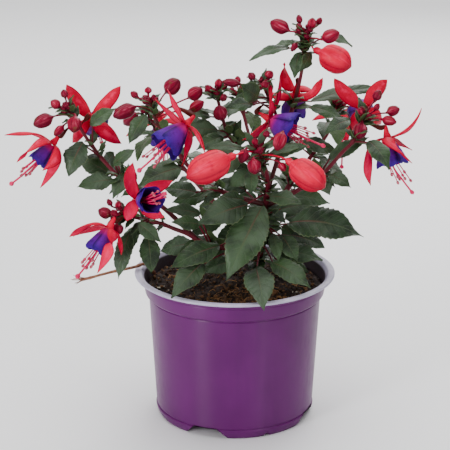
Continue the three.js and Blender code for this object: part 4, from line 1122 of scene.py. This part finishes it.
def growCorolla(number, bloom):
    # broad petals wrapped round each other, each with one edge in and one edge out, ruffled at the rim
    found = bloomFrame(bloom)
    skin = Skin()
    rows, columns = corollaForm["grid"]
    along, across = np.linspace(0, 1, rows)[:, None], np.linspace(-1, 1, columns)[None, :]
    foot, thick = corollaForm["footRadius"], corollaForm["halfThickness"]
    for petal in range(corollaForm["petals"]):
        phase = number * 1.3 + petal * 2.1
        angle = np.radians(360 / corollaForm["petals"] * petal + corollaForm["halfSpread"] * across)
        reach = 1 - 0.16 * along * across**2 + 0.035 * along**3 * np.sin(9 * across + phase)
        bell = foot + (found["radius"] - foot) * along**0.75
        wrap = 0.5 * across * np.minimum(1, 2 * along)
        ruffle = 0.06 * found["radius"] * along**3 * np.sin(6.5 * across + phase * 1.7)
        curl = -0.08 * found["radius"] * np.clip(along - 0.85, 0, 1) / 0.15
        height = seam + (found["length"] - seam) * along * reach
        radius = bell + wrap + ruffle + curl
        faces = [spotIn(found, height, radius + gap, angle) for gap in (thick, -thick)]
        places = np.stack(np.broadcast_arrays(along, across, phase), axis=-1)
        skin.blade(*faces, places, (0, 1))
    skin.build(f"petals_{number}", [petalOutside, petalInside], "corolla", f"bloom_{number}_corolla")


stamenPaint = {
    "filament": paint(214, 14, 84),
    "pale": paint(236, 60, 116),
    "anther": paint(150, 24, 64),
    "pollen": paint(214, 120, 130),
}


def filamentBuild(start):
    patch = start.noise(700.0, 3.0)
    colour = start.mix(patch.stretch(0.4, 0.7) * 0.5, stamenPaint["filament"], stamenPaint["pale"])
    return {"Base_Color": colour, "Roughness": patch.stretch(0.3, 0.7, 0.35, 0.5)}


def antherBuild(start):
    grains = start.noise(3200.0, 3.0)
    colour = start.mix(grains.stretch(0.4, 0.65), stamenPaint["anther"], stamenPaint["pollen"])
    return start.surface(colour, grains.stretch(0.3, 0.7, 0.6, 0.8), grains, 0.15, 0.8)


filamentSkin = newMaterial("filamentSkin", filamentBuild, Specular_IOR_Level=0.2)
antherSkin = newMaterial("antherSkin", antherBuild, Specular_IOR_Level=0.2)


stamenForm = {
    "count": 8,
    "styleRadius": 0.56,
    "filamentRadii": (0.42, 0.3),
    "knob": [[0, 0.5], [0.3, 1.1], [0.65, 1.2], [1, 0.25]],
    "knobReach": (-2.4, 0.6),
    "anther": [[0, 0.25], [0.3, 0.8], [0.7, 0.8], [1, 0.2]],
    "antherReach": (-0.9, 1.5),
}


def growClub(skin, tip, way, reach, form, rings, flute, slot):
    # short fluted body at the end of the style or of a filament
    path = tip + way * np.linspace(*reach, rings)[:, None]
    girth = curveAt(form, np.linspace(0, 1, rings))
    skin.tube(path, girth, len(flute), 0.5, slot, np.tile(flute, (rings, 1)))


def growStamens(number, bloom):
    # filaments with their anthers round the long style and its knob
    found = bloomFrame(bloom)
    styleTip = vec(bloom[7])
    lean = styleTip - found["mouth"]
    skin = Skin()
    style = smoothPath([spotIn(found, 0.6, 0, 0), spotIn(found, 4, 0, 0), found["mouth"],
                        found["mouth"] + lean * 0.5 - vec((0, 0, 0.02 * np.linalg.norm(lean))), styleTip], 7)
    skin.tube(style, np.full(len(style), stamenForm["styleRadius"]), 10, 0.5)
    lobes = 1 + 0.22 * np.cos(4 * roundSteps(16))
    cleft = 1 - 0.25 * np.abs(np.cos(roundSteps(12))) ** 6
    growClub(skin, styleTip, unit(lean), stamenForm["knobReach"], stamenForm["knob"], 9, lobes, 0)
    for stamen in range(stamenForm["count"]):
        angle = 2 * math.pi * stamen / stamenForm["count"] + number
        out = spotIn(found, 0, 1, angle) - found["throat"]
        end = found["mouth"] + out * 0.42 * found["radius"] + lean * (0.26 + 0.1 * (stamen * 3 % 4))
        path = smoothPath([spotIn(found, 0.8, 0.9, angle), spotIn(found, 0.7 * found["length"],
                           0.25 * found["radius"], angle), end], 8)
        skin.tube(path, np.linspace(*stamenForm["filamentRadii"], len(path)), 8, 0.5)
        way = unit(path[-1] - path[-2])
        growClub(skin, end, way, stamenForm["antherReach"], stamenForm["anther"], 8, cleft, 1)
    skin.build(f"stamens_{number}", [filamentSkin, antherSkin], "stamen", f"bloom_{number}_stamens")


for number, bloom in enumerate(blooms, 1):
    growCalyx(number, bloom)
    growCorolla(number, bloom)
    growStamens(number, bloom)
print("open blooms grown")

potForm = {
    "height": 89,
    "rimRadius": 60,
    "rimWidth": 4.2,
    "rimDrop": 1.7,
    "step": 75,
    "wallTop": 51.5,
    "collarFoot": 53.6,
    "collarTop": 55,
    "groove": 0.35,
    "liningSlope": 0.18,
    "liningFoot": 2.2,
    "liningDarkLine": (87.2, 85.8),
    "wall": 1,
    "footRadius": 46.6,
    "footBand": 5.8,
    "floor": 6.6,
    "padRadius": 15,
    "archAngles": [-21.5, 68.5, 158.5, 248.5],
    "archWidth": 26,
    "archSlope": 0.9,
    "archHeight": 6,
    "notchWidth": 5,
    "notchHeight": 2.4,
    "drainRadius": 3,
    "drainRing": 30,
    "drainCount": 6,
    "sides": 360,
}
potPaint = {
    "skin": paint(84, 10, 86),
    "skinPale": paint(94, 19, 96),
    "skinDark": paint(72, 7, 76),
    "lining": paint(196, 190, 212),
    "liningShade": paint(150, 142, 176),
    "soil": paint(44, 28, 26),
    "liningDark": paint(56, 42, 52),
}


def shellBuild(start):
    cloud = start.noise(22.0, 3.0)
    draw = start.noise(60.0, 3.0, where=start.position((1, 1, 0.12)))
    scuff = start.noise(420.0, 5.0, 0.7, where=start.position((1, 1, 0.35)))
    colour = start.mix(cloud.stretch(0.35, 0.7), potPaint["skin"], potPaint["skinPale"])
    colour = start.layered(
        colour,
        (draw.stretch(0.5, 0.75) * 0.35, potPaint["skinDark"]),
        (scuff.stretch(0.62, 0.8) * 0.22, potPaint["skinPale"]),
    )
    height = draw * 1.2 + cloud * 2.0 + start.noise(900.0, 2.0) * 0.05
    return start.surface(colour, scuff.stretch(0.35, 0.75, 0.32, 0.42) + draw * 0.04, height, 0.12, 0.35)


def liningBuild(start):
    cloud = start.noise(60.0, 4.0)
    grime = start.noise(700.0, 6.0, 0.7)
    # below a line just under the lip the lining turns dark, near the colour of the compost
    low = start.position().part("z").stretch(*(height * mm for height in potForm["liningDarkLine"]))
    colour = start.mix(cloud.stretch(0.35, 0.7) * 0.5, potPaint["lining"], potPaint["liningShade"])
    colour = start.mix(grime.stretch(0.6, 0.68) * 0.25, colour, potPaint["soil"])
    darkened = start.mix(grime.stretch(0.4, 0.6), potPaint["soil"], potPaint["liningDark"])
    colour = start.mix(low * 0.96, colour, darkened)
    return start.surface(colour, grime.stretch(0.3, 0.7, 0.32, 0.5), cloud, 0.2, 0.4)


potShell = newMaterial("potShell", shellBuild, Specular_IOR_Level=0.26, Anisotropic=0.85,
                       Anisotropic_Rotation=0.25)
potLining = newMaterial("potLining", liningBuild, Specular_IOR_Level=0.35)


def filleted(corners, steps=5):
    # profile whose corners are rounded by the radius given with each
    profile = []
    for place, (radius, height, bend) in enumerate(corners):
        corner = vec((radius, height))
        if bend == 0:
            profile.append(corner)
            continue
        before, after = vec(corners[place - 1][:2]), vec(corners[place + 1][:2])
        start = corner + unit(before - corner) * bend
        end = corner + unit(after - corner) * bend
        profile += list(bentLine(start, corner, end, steps))
    return np.array(profile)


def wallRadius(height):
    foot = potForm["footRadius"] + 0.6
    return foot + (potForm["wallTop"] - foot) * height / potForm["step"]


def innerRadius(height):
    return wallRadius(height) - potForm["wall"] - 0.9 * (1 - height / potForm["step"])


def liningRadius(height):
    # inner radius of the collar, above its step
    rise = height - potForm["step"] - potForm["liningFoot"]
    return potForm["collarFoot"] - 1.2 * potForm["wall"] + potForm["liningSlope"] * rise


def turned(profile):
    # rows of points of a profile turned round the pot's axis
    angles = roundSteps(potForm["sides"])
    return np.stack([profile[:, :1] * np.cos(angles), profile[:, :1] * np.sin(angles),
                     np.broadcast_to(profile[:, 1:], (len(profile), len(angles)))], axis=-1)


def archLine(x, y):
    # height of the arches and notches cut up into the foot, at a place on it
    line = np.zeros(x.shape)
    for angle in potForm["archAngles"]:
        for turn, width, height in ((0, "archWidth", "archHeight"), (45, "notchWidth", "notchHeight")):
            way = math.radians(angle + turn)
            across = np.abs(-x * math.sin(way) + y * math.cos(way))
            near = x * math.cos(way) + y * math.sin(way) > 0
            slope = np.clip((potForm[width] / 2 - across) / potForm["archSlope"], 0, potForm[height])
            line = np.maximum(line, slope * near)
    return line


def growPot():
    # thin drawn pot: pad, raised floor, foot ring, wall, collar, rolled lip and lining
    lipInner = potForm["rimRadius"] - potForm["rimWidth"]
    step, groove, band = potForm["step"], potForm["groove"], potForm["footBand"]
    top, foot, floor = potForm["height"], potForm["footRadius"], potForm["floor"]
    pad, under, ledge = potForm["padRadius"], top - potForm["rimDrop"], step + potForm["liningFoot"]
    corners = [
        (0.01, 0, 0), (pad, 0, 0.6), (pad + 1, floor, 0.6), (foot - 4.2, floor, 0.8), (foot - 2.2, 0, 0.4),
        (foot - 0.4, 0, 0.4), (foot + 0.7, 2, 0.5), (wallRadius(band) + 0.55, band - 0.7, 0.4),
        (wallRadius(band) - groove, band - 0.1, 0.15), (wallRadius(band) + 0.1, band + 0.6, 0.3),
        (wallRadius(step - 4), step - 4, 0), (wallRadius(step), step - 0.7, 0.2),
        (wallRadius(step) - groove, step - 0.1, 0.15), (potForm["collarFoot"], step + 1.5, 0.9),
        (potForm["collarTop"] - 0.2, top - 5.4, 0.4), (potForm["collarTop"] - groove, top - 4.7, 0.2),
        (potForm["collarTop"] + 0.5, top - 4.0, 0.4), (potForm["collarTop"] + 0.6, under - 0.9, 0.4),
        (potForm["rimRadius"] - 0.5, under, 0.5), (potForm["rimRadius"], top - 0.8, 0.6),
        (potForm["rimRadius"] - 0.9, top, 0.6), (lipInner, top - 0.3, 0.7),
        (liningRadius(top - 3), top - 3, 0.7), (liningRadius(ledge), ledge, 0.6),
        (innerRadius(step), step - 0.4, 0.5), (innerRadius(floor + 2), floor + 2, 0.5),
        (foot - 2.4, floor + 1, 0.5), (pad, floor + 1, 0.5), (pad - 1, 1, 0.5), (0.01, 1, 0),
    ]
    profile = filleted(corners)
    rows = turned(profile)
    raised = np.maximum(rows[..., 2], archLine(rows[..., 0], rows[..., 1]))
    outside = np.hypot(rows[..., 0], rows[..., 1]) > foot - 4.3
    footRing = outside & (rows[..., 2] < potForm["archHeight"] + 0.2)
    rows[..., 2] = np.where(footRing, raised, rows[..., 2])
    lip = int(np.argmax(profile[:, 0] > potForm["rimRadius"] - 1.4))
    skin = Skin()
    outer = skin.loft(rows[:lip + 1], np.zeros(3), True, 0)
    inner = skin.loft(rows[lip:], np.zeros(3), True, 1)
    skin.cap(outer[0][::-1])
    skin.cap(inner[-1], 1)
    piece = skin.build("potBody", [potShell, potLining], "pot", "pot")
    welded = bmesh.new()
    welded.from_mesh(piece.data)
    bmesh.ops.remove_doubles(welded, verts=welded.verts, dist=1e-6)
    welded.to_mesh(piece.data)
    welded.free()
    return piece


def drillDrain(piece):
    # drain holes through the raised floor
    skin = Skin()
    for hole in range(potForm["drainCount"]):
        angle = 2 * math.pi * hole / potForm["drainCount"]
        spot = vec((potForm["drainRing"] * math.cos(angle), potForm["drainRing"] * math.sin(angle), 0))
        path = spot + np.array([[0, 0, 3.0], [0, 0, 11.0]])
        skin.tube(path, np.full(2, potForm["drainRadius"]), 28)
    drill = skin.build("drainDrill", [potShell], "pot")
    cut = piece.modifiers.new("drain", "BOOLEAN")
    cut.operation = "DIFFERENCE"
    cut.solver = "EXACT"
    cut.object = drill
    bpy.context.view_layer.update()
    shaped = bpy.data.meshes.new_from_object(piece.evaluated_get(bpy.context.evaluated_depsgraph_get()))
    piece.modifiers.clear()
    piece.data = shaped
    bpy.data.objects.remove(drill)


drillDrain(growPot())
print("pot turned and drilled")

soilForm = {
    "level": 80,
    "lump": 1.1,
    "reach": 51.5,
    "topRings": 64,
    "crumbs": 2600,
    "fibres": 210,
    "chips": 150,
    "seed": 20,
    "bright": (22, (8, -27)),  # radius and middle of the patch with the chips and most fibres
    "perlite": [((9, (-43, -14)), 9), ((20, (10, -28)), 5), ((8, (38, -22)), 4)],
}
soilPaint = {
    "dark": paint(16, 9, 8),
    "body": paint(50, 30, 25),
    "light": paint(138, 96, 54),
    "fibre": paint(184, 134, 80),
    "perlite": paint(226, 214, 190),
    "perliteShade": paint(190, 184, 170),
}


def compostBuild(start):
    coarse = start.noise(260.0, 6.0, 0.7)
    fine = start.noise(1300.0, 6.0, 0.75)
    tone = start.place("tone")
    colour = start.mix(coarse.stretch(0.35, 0.65), soilPaint["dark"], soilPaint["body"])
    colour = start.layered(
        colour,
        (fine.stretch(0.55, 0.72) * 0.6, soilPaint["light"]),
        (tone * 0.7, soilPaint["light"]),
    )
    return start.surface(colour, fine.stretch(0.3, 0.7, 0.8, 0.98), coarse + fine * 0.6, 0.9, 1.0)


def plainBuild(first, second, scale):
    def build(start):
        patch = start.noise(scale, 4.0, 0.6)
        colour = start.mix(patch.stretch(0.35, 0.65), first, second)
        return start.surface(colour, patch.stretch(0.3, 0.7, 0.7, 0.92), patch, 0.3, 0.8)
    return build


compostSkin = newMaterial("compostSkin", compostBuild)
fibreSkin = newMaterial("fibreSkin", plainBuild(soilPaint["fibre"], soilPaint["light"], 900.0))
perliteSkin = newMaterial("perliteSkin", plainBuild(soilPaint["perlite"], soilPaint["perliteShade"], 1500.0))


def lump(x, y):
    # lumpy height of the compost at a place
    low = (np.sin(0.31 * x + 1.3) * np.cos(0.27 * y) + 0.6 * np.sin(0.63 * x - 0.5 * y)
           + 0.4 * np.cos(0.9 * y + 0.4 * x))
    grain = 0.35 * np.sin(1.9 * x + 2.1 * np.sin(1.3 * y)) * np.cos(2.3 * y + 1.7 * np.sin(0.9 * x))
    return soilForm["lump"] * (low + grain)


def growCompost():
    # compost that fills the pot, with a lumpy top
    bottom = potForm["floor"] + 1 + seam
    step, level = potForm["step"], soilForm["level"]
    edge = liningRadius(step + potForm["liningFoot"]) - seam
    sides = [(0.01, bottom), (potForm["footRadius"] - 4, bottom), (innerRadius(12) - 0.4, 12),
             (innerRadius(step - 0.6) - 0.4, step - 0.6), (edge, step + 2.4), (edge, level - 1)]
    tops = [(radius, level) for radius in np.linspace(edge - 0.6, 0.01, soilForm["topRings"])]
    profile = np.array(sides + tops)
    rows = turned(profile)[:, ::2].copy()
    topRows = rows[len(sides):]
    radius = np.hypot(topRows[..., 0], topRows[..., 1])
    heap = lump(topRows[..., 0], topRows[..., 1])
    topRows[..., 2] = level + heap * np.clip((edge - radius) / 4, 0.2, 1)
    skin = Skin()
    index = skin.loft(rows, np.zeros(3))
    skin.cap(index[0][::-1])
    skin.cap(index[-1])
    skin.build("compost", [compostSkin], "compost", "soil")


def scatter():
    # crumbs, bark chips, fibres and white grains that lie on the compost
    draw = np.random.default_rng(soilForm["seed"])
    crumbs, fibres, grains = Skin(), Skin(), Skin()
    golden = (1 + 5**0.5) / 2
    ball = unit(np.array([(0, a, b * golden) for a in (1, -1) for b in (1, -1)]
                         + [(a, b * golden, 0) for a in (1, -1) for b in (1, -1)]
                         + [(b * golden, 0, a) for a in (1, -1) for b in (1, -1)], float))
    faces = list(ballFaces(ball))

    def spot(reach, middle=(0, 0)):
        radius, angle = reach * draw.random() ** 0.5, 2 * math.pi * draw.random()
        x, y = middle[0] + radius * math.cos(angle), middle[1] + radius * math.sin(angle)
        return vec((x, y, soilForm["level"] + lump(np.array(x), np.array(y))))

    def drop(skin, size, stretchBy, tone, reach=soilForm["reach"], middle=(0, 0)):
        shape = ball * (size * (0.75 + 0.5 * draw.random((12, 1)))) * stretchBy
        turn, _ = np.linalg.qr(draw.normal(size=(3, 3)))
        base = skin.count
        skin.points.append(shape @ turn + spot(reach, middle) + vec((0, 0, size * 0.2)))
        skin.places.append(np.tile([0, 0, tone], (12, 1)))
        skin.count += 12
        for face in faces:
            skin.cap([base + corner for corner in face])

    for _ in range(soilForm["crumbs"]):
        drop(crumbs, 0.35 + 1.1 * draw.random() ** 2.2, vec((1, 0.9, 0.7)), draw.random() ** 3)
    for _ in range(soilForm["chips"]):
        drop(crumbs, 0.8 + 0.9 * draw.random(), vec((2.0, 0.8, 0.4)), 0.3 + 0.7 * draw.random(),
             *soilForm["bright"])
    for place, number in soilForm["perlite"]:
        for _ in range(number):
            drop(grains, 0.5 + 0.5 * draw.random(), vec((1, 0.9, 0.8)), 0.5, *place)
    for number in range(soilForm["fibres"]):
        start = spot(*soilForm["bright"]) if number % 3 else spot(48)
        angle = 2 * math.pi * draw.random()
        length, bend = 2 + 6 * draw.random(), draw.normal() * 0.6
        corners = []
        for t in (0, 0.35, 0.7, 1):
            rise = 0.25 + 1.1 * math.sin(math.pi * t) * draw.random()
            way = vec((math.cos(angle + bend * t), math.sin(angle + bend * t), 0)) * length * t
            corners.append(start + way + vec((0, 0, rise)))
        if all(math.hypot(corner[0], corner[1]) < soilForm["reach"] for corner in corners):
            fibres.tube(smoothPath(corners, 4), np.full(13, 0.12 + 0.12 * draw.random()), 5)
    crumbs.build("crumbs", [compostSkin], "compost")
    fibres.build("fibres", [fibreSkin], "compost")
    grains.build("whiteGrains", [perliteSkin], "compost")


def ballFaces(ball):
    # the triangles between neighbouring corners of a twenty-faced ball
    near = np.linalg.norm(ball[:, None] - ball[None], axis=-1)
    edge = near[near > 0.01].min() * 1.01
    for a in range(12):
        for b in range(a + 1, 12):
            for c in range(b + 1, 12):
                if max(near[a, b], near[b, c], near[a, c]) < edge:
                    yield (a, b, c)


growCompost()
scatter()
print("compost laid")

twigForm = {
    "path": [[-46, 17, 76], [-50, 12, 84], [-54, 5, 90.7], [-60, -3, 91.6], [-73, -16, 93], [-88, -26, 92]],
    "frays": [[-93, -28, 95], [-92, -31, 91], [-95, -24, 91]],
    "radius": 1.0,
}
twigPaint = {"bark": paint(128, 72, 52), "pale": paint(176, 128, 96), "dark": paint(74, 40, 32)}


def barkBuild(start):
    streak = start.noise(900.0, 5.0, 0.7, where=start.position((0.4, 0.4, 1)))
    blotch = start.noise(160.0, 4.0)
    colour = start.mix(streak.stretch(0.4, 0.65), twigPaint["bark"], twigPaint["pale"])
    colour = start.mix(blotch.stretch(0.5, 0.7) * 0.7, colour, twigPaint["dark"])
    return start.surface(colour, streak.stretch(0.3, 0.7, 0.65, 0.85), streak, 0.4, 1.0)


barkSkin = newMaterial("barkSkin", barkBuild)


def growTwig():
    # dry twig with knots and a torn end
    path = smoothPath(twigForm["path"], 9)
    shares = sharesOf(path)
    knots = 1 + 0.3 * np.exp(-((shares % 0.27 - 0.13) / 0.02) ** 2)
    skin = Skin()
    skin.tube(path, twigForm["radius"] * (1 - 0.25 * shares) * knots, 12)
    end, before = path[-1], path[-4]
    for tip in twigForm["frays"]:
        for strand in (-1, 0, 1):
            reach = vec(tip) + vec((0.8 * strand, 0.5 * strand, 0.7 * abs(strand)))
            fray = smoothPath([before, end * 0.7 + reach * 0.3 + vec((0, 0, 0.3 * strand)), reach], 6)
            skin.tube(fray, np.linspace(0.42, 0.14, len(fray)), 6)
    skin.build("twig", [barkSkin], "dry_wood", "dry_twig")


growTwig()
print("twig laid")

stageForm = {
    "target": (-5.8, 0, 117),
    "distance": 900,
    "elevation": 17.8,
    "focalPixels": 1517,
    "imagePixels": 450,
    "sensor": 36,
    "floorSize": 8,
    "floorPaint": paint(246, 246, 247),
    "floorShade": paint(240, 240, 242),
    "roomLight": 0.27,
    "lampAim": (0, 0, 0.12),
    "lamps": {  # place, width, height and power
        "keyLamp": ((-0.86, -0.92, 0.44), 0.3, 0.86, 11.5),
        "fillLamp": ((0.74, -1.0, 0.42), 0.18, 0.84, 3),
        "topLamp": ((0.0, 0.5, 1.8), 2.6, 3.0, 72),
        "backLamp": ((0.3, 1.1, 0.7), 0.7, 0.7, 6),
    },
}


def floorBuild(start):
    cloud = start.noise(3.0, 2.0)
    return {"Base_Color": start.mix(cloud * 0.3, stageForm["floorPaint"], stageForm["floorShade"])}


def layStage():
    # pale floor, soft lamps and the camera at the photograph's angle
    bpy.ops.mesh.primitive_plane_add(size=stageForm["floorSize"], location=(0, 0, 0))
    ground = bpy.context.object
    ground.name = "floor"
    ground.data.materials.append(newMaterial("floorPaint", floorBuild, Roughness=0.6))
    for name, (spot, width, height, power) in stageForm["lamps"].items():
        data = bpy.data.lights.new(name, "AREA")
        data.shape = "RECTANGLE"
        data.size = width
        data.size_y = height
        data.energy = power
        lamp = bpy.data.objects.new(name, data)
        lamp.location = spot
        lamp.rotation_mode = "QUATERNION"
        lamp.rotation_quaternion = (Vector(spot) - Vector(stageForm["lampAim"])).to_track_quat("Z", "Y")
        bpy.context.scene.collection.objects.link(lamp)
    world = bpy.data.worlds.new("paleRoom")
    world.use_nodes = True
    background = world.node_tree.nodes["Background"]
    background.inputs["Color"].default_value = (1, 1, 1, 1)
    background.inputs["Strength"].default_value = stageForm["roomLight"]
    bpy.context.scene.world = world
    angle = math.radians(stageForm["elevation"])
    back = vec((0, -math.cos(angle), math.sin(angle)))
    data = bpy.data.cameras.new("camera")
    data.sensor_width = stageForm["sensor"]
    data.lens = stageForm["focalPixels"] / stageForm["imagePixels"] * stageForm["sensor"]
    camera = bpy.data.objects.new("camera", data)
    camera.location = (vec(stageForm["target"]) + back * stageForm["distance"]) * mm
    camera.rotation_euler = (math.pi / 2 - angle, 0, 0)
    bpy.context.scene.collection.objects.link(camera)
    bpy.context.scene.camera = camera


layStage()
print("floor, lamps and camera set")
